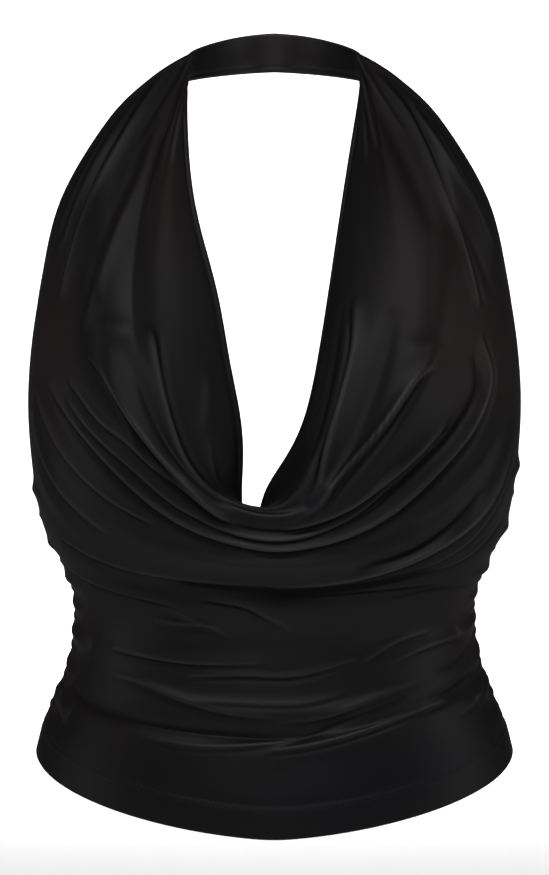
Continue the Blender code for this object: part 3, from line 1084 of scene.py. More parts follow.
@dataclass(frozen=True)
class DrapeRow:
    """One row of the front's cloth, from its centre to the wearer's left edge, in mm.

    The row leaves the centre level, reaches out to the reach point, turns up past the turn point and ends at the
    edge point. The wearer's right half mirrors it, with its reach and turn multiplied by right_reach and right_turn.
    """

    name: str
    centre: Point
    reach: Point
    turn: Point
    edge: Point
    right_reach: float = 1.0
    right_turn: float = 1.0


@dataclass(frozen=True)
class BackRow:
    """One row of the back's cloth, in mm: its centre, then the turn towards the side seam it shares."""

    name: str
    centre: Point
    reach_x: float
    turn: Point


@dataclass(frozen=True)
class Tug:
    """A pull on the cloth round one place: by shift, in mm, fading out over its reach in across and in rows."""

    name: str
    place: Place
    shift: Point
    reach: Place


@dataclass(frozen=True)
class Pucker:
    """A short crease off a side seam: its row, how far in it reaches, how far it drops, its rise and its width."""

    row: float
    reach: float
    drop: float
    rise: float
    width: float


DRAPE_ROWS = (
    DrapeRow("hem", (0, -182, -485), (80, -182, -480), (150, -133, -457), (147, -75, -438)),
    DrapeRow("hip", (0, -180, -462), (78, -180, -458), (147, -132, -441), (142, -75, -420)),
    DrapeRow("high_hip", (0, -176, -436), (76, -176, -434), (137, -131, -419), (133, -75, -400)),
    DrapeRow("low_waist", (0, -172, -408), (74, -172, -408), (128, -127, -395), (126, -74, -379)),
    DrapeRow("waist", (0, -170, -380), (72, -170, -380), (125, -125, -369), (123, -73, -357)),
    DrapeRow("high_waist", (0, -172, -358), (72, -172, -358), (126, -125, -349), (124, -71, -338)),
    DrapeRow("under_lip", (0, -181, -344), (74, -181, -343), (136, -128, -333), (132, -68, -318)),
    DrapeRow("lip", (0, -199, -334), (80, -199, -334), (151, -138, -314), (144, -65, -288)),
    DrapeRow("underarm", (0, -207, -325), (84, -207, -325), (161, -146, -288), (149, -66, -240)),
    DrapeRow("side_bust", (0, -209, -317), (86, -209, -317), (164, -155, -262), (149, -78, -195)),
    DrapeRow("low_armhole", (0, -209, -311), (84, -209, -311), (158, -166, -245), (143, -95, -150)),
    DrapeRow("armhole", (0, -208, -305), (78, -208, -305), (138, -188, -222), (130, -106, -100)),
    DrapeRow("high_armhole", (0, -208, -300), (70, -208, -300), (128, -222, -205), (102, -94, -51), 1.0, 1.06),
    DrapeRow("shoulder", (0, -208, -297), (66, -208, -297), (122, -236, -202), (76, -83, -24), 1.0, 1.1),
    DrapeRow("band_top", (0, -208, -294), (60, -208, -294), (114, -242, -200), (52, -73, -8), 1.05, 1.13),
    DrapeRow("band_middle", (-2, -207, -291), (44, -207, -291), (90, -234, -200), (52.8, -75, -13.5), 1.25, 1.3),
    DrapeRow("roll", (-4, -206, -288), (27, -206, -289), (66, -218, -200), (53.4, -77, -18), 2.0, 1.52),
    DrapeRow("turned_in", (-8, -196, -290), (28, -198, -286), (48, -200, -188), (54, -78.5, -22), 1.6, 1.6),
    DrapeRow("neckline", (-16, -186, -299), (40, -190, -290), (28, -166, -162), (54.5, -80, -26), 0.35, 1.9),
)
SEAM_ROWS = 9  # the first rows, hem to underarm, end on the side seam
BAND_ROWS = (14, 18)  # the rows that end on the band: its top and bottom corner
HEM_DEPTH = 19.0  # mm from the hem to its upper line of stitches

BACK_ROWS = (
    BackRow("hem", (0, 27, -468), 82, (150, -17, -455)),
    BackRow("hip", (0, 25, -447), 80, (144, -20, -436)),
    BackRow("high_hip", (0, 19, -424), 76, (136, -24, -413)),
    BackRow("low_waist", (0, 12, -400), 72, (128, -28, -390)),
    BackRow("waist", (0, 8, -377), 70, (125, -30, -367)),
    BackRow("high_waist", (0, 8, -358), 70, (128, -30, -347)),
    BackRow("under_lip", (0, 10, -342), 72, (137, -28, -328)),
    BackRow("lip", (0, 12, -326), 74, (144, -24, -306)),
    BackRow("top", (0, 13, -309), 76, (148, -22, -278)),
)

NECKLINE_TUGS = (
    Tug("right_neckline_bow", (-0.42, 18), (15, 0, 0), (0.22, 1.3)),
    Tug("right_neckline_rise", (-0.66, 18), (7, 0, 0), (0.13, 1.3)),
    Tug("left_neckline_corner", (0.22, 18), (-10, 3, 0), (0.13, 1.0)),
)

# Places are across (wearer's right is negative) and row number.
COWL_SWELLS = (
    Crease("under_long_fold", ((-0.74, 9.2), (0.0, 9.1), (0.74, 9.4)), -3.0, 16, 1.9),
    Crease("right_roll_swell", ((-0.60, 15.0), (-0.40, 15.4), (-0.14, 14.8)), 1.2, 14, 1.9),
    Crease("right_roll_side", ((-0.62, 13.5), (-0.48, 14.5), (-0.28, 14.7), (-0.14, 14.2)), -3.4, 13, 1.9),
    Crease("right_second_swell", ((-0.70, 11.4), (-0.46, 12.8), (-0.14, 12.3)), 2.5, 15, 1.8),
    Crease("right_third_swell", ((-0.66, 10.5), (-0.38, 11.6), (-0.08, 11.3)), 1.5, 13, 1.8),
    Crease("left_roll_side", ((0.66, 14.6), (0.46, 15.0), (0.24, 14.9)), -3.2, 13, 1.9),
    Crease("left_second_swell", ((0.64, 12.2), (0.42, 13.9), (0.14, 13.6)), 2.0, 15, 1.8),
    Crease("left_third_swell", ((0.62, 11.0), (0.36, 11.7), (0.08, 11.8)), 1.8, 13, 1.8),
    Crease("lip_band", ((-0.30, 13.4), (0.0, 13.1), (0.32, 13.4)), 1.6, 12, 1.9),
    Crease("right_side_swell", ((-0.80, 9.4), (-0.66, 9.0), (-0.44, 8.6)), 2.0, 17, 1.9),
    Crease("right_low_side_swell", ((-0.76, 8.3), (-0.60, 7.9), (-0.40, 7.7)), 1.6, 14, 1.9),
    Crease("left_side_hollow", ((0.74, 9.9), (0.60, 9.3), (0.36, 8.9)), -2.0, 15, 1.9),
)
COWL_CREASES = (
    Crease("right_roll", ((-0.63, 15.8), (-0.57, 15.8), (-0.40, 15.6), (-0.20, 15.0)),
           3.8, 7.5, 1.4, -0.9, -0.5, 0.6),
    Crease("right_second_fold", ((-0.66, 11.5), (-0.55, 12.3), (-0.40, 13.2), (-0.26, 13.4), (-0.12, 12.3)),
           3.0, 6.0, 1.3, 1.2, 0.8, 0.4),
    Crease("right_third_fold", ((-0.68, 10.7), (-0.53, 11.2), (-0.40, 12.1), (-0.25, 12.9), (-0.10, 11.7)),
           2.5, 5.5, 1.3, 1.0, 0.7, 0.4),
    Crease("right_fourth_fold", ((-0.66, 10.5), (-0.52, 10.8), (-0.36, 11.3), (-0.18, 11.6)),
           1.8, 5.0, 1.3, 0.8, 0.7, 0.4),
    Crease("lip_fold", ((-0.40, 11.0), (-0.24, 11.4), (0.0, 10.8), (0.16, 11.2), (0.34, 11.5)),
           1.8, 4.6, 1.3, 0.7, 0.8),
    Crease("long_fold", ((-0.74, 10.2), (-0.42, 10.6), (-0.13, 10.3), (0.0, 9.9), (0.12, 10.1), (0.40, 10.5),
                         (0.60, 10.4), (0.71, 10.5), (0.74, 11.0)), 2.8, 6.0, 1.3, 1.0, 0.7, 0.35),
    Crease("lip_top_line", ((-0.14, 14.4), (0.0, 14.1), (0.12, 14.4)), 0.6, 4.0, 1.5, 0.0, 0.5),
    Crease("lip_groove", ((-0.24, 12.3), (0.0, 11.5), (0.22, 12.0)), -1.4, 4.5, 1.5),
    Crease("left_roll", ((0.68, 16.2), (0.60, 15.9), (0.48, 15.9), (0.34, 15.7), (0.14, 14.7)),
           3.6, 7.0, 1.4, -1.0, -0.8, 0.65),
    Crease("left_second_fold", ((0.60, 12.0), (0.54, 13.3), (0.42, 14.2), (0.26, 14.7), (0.08, 13.6)),
           3.0, 6.0, 1.4, 1.0, 0.8, 0.65),
    Crease("left_third_fold", ((0.54, 11.1), (0.45, 11.4), (0.28, 12.0), (0.14, 12.2), (0.02, 11.8)),
           2.8, 5.6, 1.4, 1.0, 0.8, 0.5),
    Crease("left_long_hollow", ((0.70, 11.1), (0.66, 10.7), (0.54, 10.75), (0.36, 11.0), (0.14, 10.7)),
           -2.8, 6.0, 1.6),
    Crease("right_turned_ridge", ((-0.52, 17.4), (-0.45, 17.2), (-0.38, 16.9)), 0.9, 6, 1.5),
    Crease("right_turned_line", ((-0.40, 17.1), (-0.30, 16.9), (-0.18, 16.6)), 0.8, 5, 1.5),
    Crease("left_turned_hollow", ((0.66, 17.0), (0.50, 16.8), (0.32, 16.4)), -1.6, 7, 1.6),
    Crease("left_turned_line", ((0.60, 17.6), (0.46, 17.4), (0.34, 17.1)), 0.9, 5, 1.5),
    Crease("right_bust_break", ((-0.69, 11.9), (-0.65, 13.2), (-0.62, 14.6)), -0.9, 7, 1.7),
    Crease("left_bust_break", ((0.60, 14.2), (0.62, 12.9), (0.66, 11.8)), -0.9, 7, 1.7),
    Crease("right_soft_line", ((-0.78, 9.7), (-0.62, 9.6), (-0.44, 9.6), (-0.30, 9.7)), 1.7, 5.5, 1.4, 0.6, 0.6, 0.4),
    Crease("right_low_line", ((-0.74, 8.9), (-0.60, 8.6), (-0.42, 8.2)), 1.6, 7, 1.5, 0.4, 0.5),
)
WING_CREASES = (
    Crease("right_wing_outer_swell", ((-0.97, 12.3), (-0.93, 11.6), (-0.90, 10.6)), 1.6, 12, 1.8),
    Crease("right_wing_swell", ((-0.98, 13.2), (-0.87, 12.2), (-0.80, 10.8)), 1.0, 13, 1.8),
    Crease("right_wing_line", ((-0.99, 13.4), (-0.93, 12.7), (-0.88, 11.9), (-0.82, 11.0)),
           2.8, 6.2, 1.4, -0.4, 0.6, 0.35),
    Crease("right_wing_inner", ((-0.98, 14.3), (-0.91, 13.9), (-0.84, 13.7), (-0.74, 12.5), (-0.70, 11.5)),
           1.6, 9, 1.6, 0.0, 0.3, 0.4),
    Crease("right_wing_fine", ((-0.98, 12.8), (-0.94, 12.0), (-0.90, 11.2)), 1.6, 4.5, 1.3, 0.0, 0.6, 0.4),
    Crease("right_wing_second_fine", ((-0.98, 12.1), (-0.95, 11.5), (-0.93, 11.0)), 1.7, 5.0, 1.3, 0.0, 0.6, 0.4),
    Crease("right_wing_low_fine", ((-0.95, 11.1), (-0.93, 10.6), (-0.90, 10.0)), 1.0, 5.0, 1.4, 0.0, 0.5),
    Crease("left_wing_outer_swell", ((0.97, 12.5), (0.93, 11.8), (0.90, 10.6)), 1.5, 12, 1.8),
    Crease("left_wing_hollow", ((0.97, 12.9), (0.89, 12.1), (0.84, 10.8)), -1.8, 9, 1.8),
    Crease("left_wing_line", ((0.98, 13.6), (0.95, 13.0), (0.90, 12.5), (0.84, 11.9), (0.78, 11.2)),
           3.0, 6.8, 1.4, -0.4, 0.7, 0.4),
    Crease("left_wing_deep", ((0.98, 14.3), (0.91, 13.7), (0.80, 12.8)), -1.6, 12, 1.9),
    Crease("left_wing_second_line", ((0.98, 12.9), (0.94, 12.1), (0.93, 11.5), (0.92, 10.8)),
           2.0, 5.0, 1.3, 0.0, 0.7, 0.4),
    Crease("left_wing_fine", ((0.97, 12.4), (0.95, 11.6), (0.94, 10.9)), 1.5, 4.5, 1.3, 0.0, 0.6, 0.4),
)
GATHERS = (
    Crease("right_top_gather", ((-1.0, 14.3), (-0.96, 14.0), (-0.90, 13.4)), 1.0, 4.0, 1.5, 0.0, 0.5, 0.5, True),
    Crease("right_high_gather", ((-1.0, 15.1), (-0.96, 15.0), (-0.90, 14.6)), 1.2, 4.5, 1.5, 0.0, 0.6, 0.5, True),
    Crease("right_middle_gather", ((-1.0, 15.9), (-0.95, 15.9), (-0.86, 15.7)), 1.0, 4.0, 1.5, 0.0, 0.5, 0.5, True),
    Crease("right_low_gather", ((-1.0, 16.8), (-0.95, 16.8), (-0.88, 16.7)), 0.7, 3.5, 1.5, 0.0, 0.5, 0.5, True),
    Crease("left_top_gather", ((1.0, 14.2), (0.97, 13.9), (0.92, 13.3)), 1.1, 4.0, 1.5, 0.0, 0.5, 0.5, True),
    Crease("left_high_gather", ((1.0, 14.8), (0.97, 14.6), (0.92, 14.2)), -1.2, 4.5, 1.6, 0.0, 0.0, 0.5, True),
    Crease("left_middle_gather", ((1.0, 15.4), (0.96, 15.3), (0.89, 15.0)), 1.3, 4.5, 1.5, 0.0, 0.6, 0.5, True),
    Crease("left_low_gather", ((1.0, 16.3), (0.95, 16.2), (0.88, 16.0)), 0.9, 4.0, 1.5, 0.0, 0.5, 0.5, True),
    Crease("left_edge_gather", ((1.0, 17.0), (0.96, 17.0), (0.90, 16.9)), 0.6, 3.5, 1.5, 0.0, 0.5, 0.5, True),
)
WAIST_SWELLS = (
    Crease("right_under_bust", ((-0.66, 7.2), (-0.30, 6.6), (0.02, 6.5)), -3.0, 13, 1.9),
    Crease("left_under_bust", ((0.00, 7.1), (0.38, 7.4), (0.76, 8.6)), 1.8, 12, 1.8),
    Crease("left_under_hollow", ((0.04, 6.3), (0.42, 6.6), (0.82, 7.5)), -1.8, 13, 1.9),
    Crease("right_high_waist", ((-0.80, 5.8), (-0.46, 5.5), (-0.18, 5.2)), -1.5, 12, 1.9),
    Crease("waist_swell", ((-0.66, 3.9), (-0.20, 4.0), (0.20, 4.1)), 1.4, 12, 1.9),
    Crease("left_waist_hollow", ((0.22, 4.2), (0.48, 4.4), (0.94, 4.2)), -1.5, 12, 1.9),
    Crease("low_waist_swell", ((-0.70, 3.3), (0.10, 2.9), (0.92, 3.2)), 1.8, 12, 1.9),
    Crease("hip_hollow", ((-0.90, 2.4), (0.00, 2.4), (0.92, 2.9)), -2.0, 12, 1.9),
    Crease("hip_swell", ((-0.08, 1.9), (0.34, 2.4), (0.90, 2.4)), 1.4, 12, 1.8),
    Crease("right_hem_corner", ((-0.94, 1.6), (-0.86, 1.0), (-0.78, 0.5)), -1.8, 12, 1.9),
    Crease("left_hem_corner", ((0.94, 1.9), (0.86, 1.3), (0.80, 0.8)), -1.8, 12, 1.9),
)
WAIST_CREASES = (
    Crease("cowl_edge", ((-0.66, 7.2), (-0.44, 7.1), (-0.22, 7.2), (0.02, 7.1)), 2.0, 5.0, 1.4, 1.8, 1.2, 0.35),
    Crease("cowl_shadow", ((-0.56, 6.8), (-0.36, 6.7), (-0.18, 6.9), (0.00, 6.8)), -3.8, 5.4, 1.5, 0.0, 0.0, 0.35),
    Crease("left_cowl_shadow", ((0.20, 7.7), (0.34, 7.8), (0.48, 8.2), (0.58, 8.6)), -3.4, 5.4, 1.5, 0.0, 0.0, 0.45),
    Crease("left_under_line", ((-0.02, 7.0), (0.19, 7.3), (0.41, 7.7), (0.62, 8.2), (0.78, 9.1)),
           2.4, 5.6, 1.3, 0.8, 0.7, 0.35),
    Crease("left_second_line", ((0.36, 7.1), (0.52, 7.4), (0.66, 7.9), (0.76, 8.4)), 1.4, 5.5, 1.4, 0.6, 0.7),
    Crease("left_third_line", ((0.42, 6.7), (0.58, 6.9), (0.74, 7.4)), 1.1, 5.0, 1.4, 0.5, 0.7),
    Crease("right_high_line", ((-0.78, 6.1), (-0.60, 5.9), (-0.42, 5.7), (-0.28, 5.5)), 1.3, 5.0, 1.4, 0.5, 0.7),
    Crease("centre_slant", ((-0.20, 6.0), (-0.09, 5.8), (-0.02, 5.3), (0.05, 4.8)), 1.3, 5.5, 1.5, 0.4, 0.5),
    Crease("right_slant", ((-0.36, 5.4), (-0.28, 5.2), (-0.20, 4.9)), 0.8, 4.5, 1.5, 0.3, 0.5),
    Crease("right_arc", ((-0.38, 4.9), (-0.28, 4.9), (-0.19, 4.9), (-0.12, 4.6)), 1.1, 5.0, 1.4, 0.4, 0.6),
    Crease("left_high_groove", ((0.34, 5.7), (0.50, 5.8), (0.66, 5.6), (0.84, 5.5)), -1.3, 4.5, 1.5, 0.0, 0.0),
    Crease("left_high_line", ((0.10, 6.3), (0.30, 6.3), (0.50, 6.2)), 0.8, 5.0, 1.5, 0.3, 0.5),
    Crease("waist_line", ((-0.58, 3.9), (-0.42, 3.9), (-0.22, 3.9), (-0.02, 4.0)), 1.4, 4.5, 1.4, 0.5, 0.8, 0.4),
    Crease("second_waist_line", ((-0.26, 3.6), (-0.10, 3.7), (0.06, 3.7), (0.24, 4.0)), 1.5, 4.5, 1.4, 0.5, 0.8, 0.4),
    Crease("left_waist_line", ((0.26, 3.9), (0.40, 4.3), (0.56, 4.4)), 1.2, 4.5, 1.4, 0.4, 0.8),
    Crease("left_waist_second_line", ((0.36, 3.8), (0.54, 4.0), (0.78, 4.0)), 1.1, 4.5, 1.4, 0.4, 0.8),
    Crease("right_low_line", ((-0.56, 3.3), (-0.42, 3.3), (-0.28, 3.1), (-0.14, 2.9), (0.02, 2.8)),
           1.5, 5.0, 1.4, 0.5, 0.7),
    Crease("middle_low_line", ((-0.26, 3.1), (-0.10, 3.1), (0.08, 3.1), (0.22, 3.3)), 0.8, 4.0, 1.4, 0.3, 0.7),
    Crease("left_low_line", ((0.00, 2.7), (0.14, 2.8), (0.30, 3.1), (0.46, 3.3)), 1.1, 4.5, 1.4, 0.4, 0.7),
    Crease("left_side_groove", ((0.54, 3.4), (0.68, 3.4), (0.82, 3.6)), -1.3, 4.5, 1.5),
    Crease("left_side_second_groove", ((0.50, 2.8), (0.64, 2.8), (0.80, 3.0)), -1.5, 4.5, 1.5),
    Crease("hip_groove",
           ((-0.84, 2.5), (-0.65, 2.4), (-0.40, 2.4), (-0.15, 2.4), (0.06, 2.4), (0.22, 2.7), (0.40, 3.0)),
           -2.0, 4.5, 1.5, 0.0, 0.0, 0.35),
    Crease("hip_ridge", ((-0.40, 2.1), (-0.20, 2.1), (0.00, 2.3), (0.16, 2.6)), 1.3, 4.5, 1.4, 0.3, 0.4),
    Crease("hip_line", ((-0.02, 2.1), (0.10, 2.2), (0.26, 2.4), (0.42, 2.6), (0.58, 2.7)),
           1.5, 4.5, 1.4, 0.5, 0.8, 0.4),
    Crease("right_hip_patch", ((-0.88, 2.2), (-0.82, 2.0), (-0.74, 1.6)), 1.0, 6.0, 1.6, 0.2, 0.4),
    Crease("right_corner_line", ((-0.96, 2.4), (-0.94, 1.6), (-0.88, 0.9)), 1.2, 6.0, 1.5, 0.0, 0.7),
    Crease("left_corner_line", ((0.95, 2.4), (0.93, 1.7), (0.88, 1.2)), 1.2, 6.0, 1.5, 0.0, 0.7),
    Crease("left_hip_line", ((0.62, 2.2), (0.74, 2.3), (0.88, 2.6)), 0.9, 5.0, 1.5, 0.3, 0.5),
)
# Painted light and shade with a painted tint: lighter on the bust tops, bust sides, waist sides and under the cowl,
# darker in the cowl, on the roll and on the wings' tops
FRONT_PATCHES = (
    Patch("left_wing_top", (0.89, 14.0), (0.10, 1.8), 0.8, -0.34),
    Patch("left_wing", (0.70, 13.2), (0.16, 1.8), 0.9, -0.20),
    Patch("left_bust_top", (0.68, 11.3), (0.18, 1.1), 0.9, 0.22),
    Patch("left_bust_side", (0.78, 10.0), (0.10, 0.7), 0.7, 0.15),
    Patch("left_inside", (0.40, 16.6), (0.22, 0.9), 0.4, -0.05),
    Patch("left_cowl", (0.50, 10.8), (0.22, 1.2), -0.1, -0.26),
    Patch("left_waist", (0.80, 4.7), (0.16, 1.6), 0.7, 0.20),
    Patch("left_hip", (0.40, 1.2), (0.34, 1.0), -0.7, -0.08),
    Patch("right_wing_top", (-0.90, 15.4), (0.08, 1.6), 0.8, -0.08),
    Patch("right_wing_shoulder", (-0.91, 13.3), (0.07, 1.2), 0.0, -0.14),
    Patch("right_wing", (-0.80, 16.6), (0.12, 1.6), 0.8, 0.0),
    Patch("right_wing_ridge", (-0.77, 13.9), (0.10, 1.2), 0.0, -0.30),
    Patch("right_bust_top", (-0.72, 13.4), (0.14, 1.4), 0.6, 0.15),
    Patch("right_bust_side", (-0.80, 10.2), (0.12, 1.0), 0.9, 0.20),
    Patch("right_inside", (-0.55, 17.2), (0.16, 0.8), 0.0, -0.15),
    Patch("right_cowl", (-0.48, 12.2), (0.24, 1.4), 0.0, -0.22),
    Patch("right_roll", (-0.46, 15.4), (0.16, 1.3), 0.0, -0.24),
    Patch("right_waist", (-0.80, 4.4), (0.16, 1.6), 0.6, 0.20),
    Patch("right_hip", (-0.60, 1.8), (0.24, 0.9), 0.3, -0.26),
    Patch("middle_under_cowl", (-0.05, 8.1), (0.30, 0.8), 0.0, 0.42),
    Patch("middle_waist", (0.00, 5.0), (0.36, 1.6), 0.1, 0.25),
    Patch("middle_hem", (-0.10, 0.8), (0.60, 1.2), -0.2, -0.08),
)
BACK_PATCHES = (
    Patch("left_back", (0.55, 6.2), (0.30, 1.6), 0.8, 0.10),
    Patch("right_seat", (-0.50, 1.8), (0.35, 1.2), -0.8, -0.08),
    Patch("back_waist", (-0.20, 4.3), (0.40, 1.0), 0.4, 0.10),
)
# Painted shade at the band's joint with the wing, and painted light with a warm tint towards the nape
BAND_PATCHES = (
    Patch("band_joint", (-1.0, 0.0), (0.8, 9.0), 0.0, -0.30),
    Patch("band_nape", (1.0, 0.0), (0.7, 9.0), 0.8, 0.45),
)
SEAM_PUCKERS = (
    Pucker(1.2, 0.16, 0.3, 2.0, 9),
    Pucker(2.1, 0.24, 0.2, 2.8, 9),
    Pucker(3.0, 0.18, 0.3, 2.4, 9),
    Pucker(3.8, 0.28, 0.1, 3.0, 9),
    Pucker(4.7, 0.20, 0.2, 2.4, 9),
    Pucker(5.5, 0.26, -0.1, 2.8, 9),
    Pucker(6.4, 0.18, -0.2, 2.2, 9),
    Pucker(7.3, 0.22, -0.4, 2.0, 9),
    Pucker(1.7, 0.10, 0.1, 1.0, 4),
    Pucker(2.6, 0.14, 0.2, 1.2, 4),
    Pucker(3.4, 0.12, 0.1, 1.3, 4),
    Pucker(4.2, 0.16, 0.1, 1.2, 4),
    Pucker(5.1, 0.13, 0.0, 1.3, 4),
    Pucker(5.9, 0.11, -0.1, 1.1, 4),
    Pucker(6.9, 0.12, -0.2, 1.0, 4),
)
PUCKER_SIDE_STEP = 0.35  # rows between the puckers of one seam and those of the other
PUCKER_START = 0.985  # where across they start

BACK_CREASES = (
    Crease("top_swell", ((-0.80, 6.6), (0.00, 6.9), (0.80, 6.6)), 1.6, 12, 1.9),
    Crease("blade_hollow", ((-0.84, 5.6), (-0.10, 5.9), (0.62, 5.3)), -1.8, 12, 1.9),
    Crease("small_of_back_swell", ((-0.50, 4.7), (0.16, 5.0), (0.86, 4.9)), 1.6, 12, 1.8),
    Crease("waist_hollow", ((-0.90, 4.1), (-0.20, 4.0), (0.50, 4.3)), -1.8, 12, 1.9),
    Crease("low_waist_swell", ((-0.60, 3.2), (0.10, 3.3), (0.90, 3.5)), 1.8, 12, 1.8),
    Crease("seat_hollow", ((-0.90, 2.6), (0.00, 2.3), (0.88, 2.4)), -2.0, 12, 1.9),
    Crease("seat_swell", ((-0.50, 1.7), (0.10, 1.5), (0.80, 1.8)), 1.2, 12, 1.8),
    Crease("high_left_line", ((-0.10, 7.0), (0.30, 7.1), (0.72, 6.9)), 0.9, 4.5, 1.4, 0.3, 0.7),
    Crease("high_right_line", ((-0.84, 6.4), (-0.46, 6.6), (-0.10, 6.5)), 1.2, 4.5, 1.4, 0.4, 0.8),
    Crease("blade_groove", ((-0.70, 5.8), (-0.20, 6.0), (0.30, 5.9)), -1.3, 4.5, 1.5),
    Crease("left_blade_line", ((0.24, 5.6), (0.56, 5.5), (0.88, 5.3)), 1.3, 4.5, 1.4, 0.4, 0.8),
    Crease("small_of_back_line", ((-0.60, 4.9), (-0.20, 5.2), (0.20, 5.1), (0.56, 4.8)),
           1.5, 5.0, 1.4, 0.5, 0.8, 0.4),
    Crease("right_waist_groove", ((-0.90, 4.3), (-0.56, 4.2), (-0.22, 4.4)), -1.5, 4.5, 1.5),
    Crease("waist_line", ((-0.30, 4.1), (0.10, 4.2), (0.48, 4.4), (0.84, 4.3)), 1.5, 4.5, 1.4, 0.5, 0.8, 0.4),
    Crease("right_low_waist_line", ((-0.86, 3.6), (-0.48, 3.5), (-0.10, 3.6)), 1.3, 4.5, 1.4, 0.4, 0.8),
    Crease("low_waist_line", ((-0.34, 3.1), (0.06, 3.2), (0.44, 3.4), (0.80, 3.5)), 1.2, 4.5, 1.4, 0.4, 0.8),
    Crease("seat_groove", ((-0.88, 2.8), (-0.40, 2.5), (0.06, 2.5), (0.46, 2.7)), -1.8, 4.5, 1.5, 0.0, 0.0, 0.4),
    Crease("seat_line", ((-0.24, 2.2), (0.16, 2.3), (0.52, 2.5), (0.84, 2.4)), 1.3, 4.5, 1.4, 0.4, 0.8),
)


def seam_puckers(reach_scale: float = 1.0) -> list[Crease]:
    """The creases that elastic in the side seams draws into a panel.

    Args:
        reach_scale: multiplies how far they reach in.

    Returns:
        The creases of both seams.
    """
    creases = []
    for side in Side:
        for number, pucker in enumerate(SEAM_PUCKERS):
            row = pucker.row + (PUCKER_SIDE_STEP if side is Side.LEFT else 0.0)
            reach = pucker.reach * reach_scale
            path = tuple(
                (side.value * (PUCKER_START - share * reach), row - share * pucker.drop) for share in (0.0, 0.5, 1.0)
            )
            creases.append(Crease(f"pucker_{side.name.lower()}_{number}", path, pucker.rise, pucker.width))
    return creases


class BodyPanel:
    """What the front and the back share: each drapes its own grid, which then becomes a thin shell.

    Attributes:
        name: the piece's name.
        cloth: the cloth's thickness in mm.
        turnings: its turned and stitched borders.
        grid: its draped cloth.
    """

    name: str
    cloth: float
    turnings: tuple[Turning, ...]
    grid: ClothGrid

    def drape(self) -> None:
        """Makes the grid."""
        raise NotImplementedError

    def dressed(self, jersey: bpy.types.Material) -> bpy.types.Object:
        """Drapes the panel, turns its borders under and makes its shell.

        Args:
            jersey: its finish.

        Returns:
            The panel, as a piece.
        """
        self.drape()
        for turning in self.turnings:
            turning.press(self.grid)
        thickness = self.cloth + sum(turning.thickness(self.grid) for turning in self.turnings)
        shell = ThinShell(self.name, self.grid, thickness, inner_step=2)
        return finished_object(self.name, shell.mesh(), jersey)


@dataclass
class FrontPanel(BodyPanel):
    """The front: two halter wings, the cowl and the ruched waist, cut in one.

    Attributes:
        name: the piece's name.
        columns: grid columns from edge to edge.
        crowding: how much closer together they are on the wings.
        lines: grid lines from hem to neckline.
        cloth: the cloth's thickness in mm.
        turnings: its turned and stitched borders.
        flat: the cut's width and length in metres; not used.
        flat_area: the cut's area in square metres; not used.
    """

    name: str = "draped_front"
    columns: int = 241
    crowding: float = 0.45
    lines: int = 321
    cloth: float = 0.9
    turnings: tuple[Turning, ...] = (
        Turning(Edge.HEM, HEM_DEPTH, 0.5, 0.5),
        Turning(Edge.NECKLINE, 3.2, 0.7, 0.6),
        Turning(Edge.RIGHT_SIDE, 5.0, 0.6, 0.5, from_row=8.6),
        Turning(Edge.LEFT_SIDE, 5.0, 0.6, 0.5, from_row=8.6),
    )
    flat: tuple[float, float] = (0.74, 0.505)
    flat_area: float = 0.18
    grid: ClothGrid = field(init=False)

    SAMPLES_ACROSS: ClassVar[int] = 41
    SAMPLES_UP: ClassVar[int] = 361

    def controls(self, side: Side, rows: np.ndarray) -> np.ndarray:
        """The rows' control points on one side.

        Args:
            side: which side.
            rows: row numbers.

        Returns:
            Control points shaped (len(rows), 4, 3).
        """
        knots = []
        for row in DRAPE_ROWS:
            reach = row.reach[0] * (row.right_reach if side is Side.RIGHT else 1.0)
            turn = row.turn[0] * (row.right_turn if side is Side.RIGHT else 1.0)
            knots.append([
                row.centre,
                (row.centre[0] + side.value * reach, *row.reach[1:]),
                (side.value * turn, *row.turn[1:]),
                (side.value * row.edge[0], *row.edge[1:]),
            ])
        return through(knots, rows)

    def surface(self, across: np.ndarray, rows: np.ndarray) -> np.ndarray:
        """The panel before its creases.

        Args:
            across: the columns' places.
            rows: row numbers.

        Returns:
            Points shaped (len(rows), len(across), 3).
        """
        points = two_sided(across, rows, self.controls)
        for tug in NECKLINE_TUGS:
            share = fading(across, rows, tug.place, tug.reach)
            points = points + share[..., None] * np.array(tug.shift, float)
        return points

    def even_rows(self) -> np.ndarray:
        """Row numbers that put the grid's lines at even distances along the cloth.

        Returns:
            One for each line.
        """
        across = np.linspace(-1, 1, self.SAMPLES_ACROSS)
        rows = np.linspace(0, len(DRAPE_ROWS) - 1, self.SAMPLES_UP)
        gaps = np.linalg.norm(np.diff(self.surface(across, rows), axis=0), axis=2).mean(axis=1)
        run = np.concatenate([[0.0], np.cumsum(gaps)])
        return np.interp(np.linspace(0, run[-1], self.lines), run, rows)

    def drape(self) -> None:
        """Makes the cloth's surface with its creases."""
        across = ClothGrid.columns_across(self.columns, self.crowding)
        rows = self.even_rows()
        self.grid = ClothGrid(self.surface(across, rows), across, rows)
        self.grid.ease_middle()
        self.grid.lay([*COWL_SWELLS, *WAIST_SWELLS, *seam_puckers()])
        self.grid.lay([*COWL_CREASES, *WING_CREASES, *GATHERS, *WAIST_CREASES])
        self.grid.tint(FRONT_PATCHES)

    def build(self, jersey: bpy.types.Material) -> bpy.types.Object:
        """Builds and dresses the front.

        Args:
            jersey: its finish.

        Returns:
            The front, standing for its solid.
        """
        piece = self.dressed(jersey)
        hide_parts("front")
        return piece


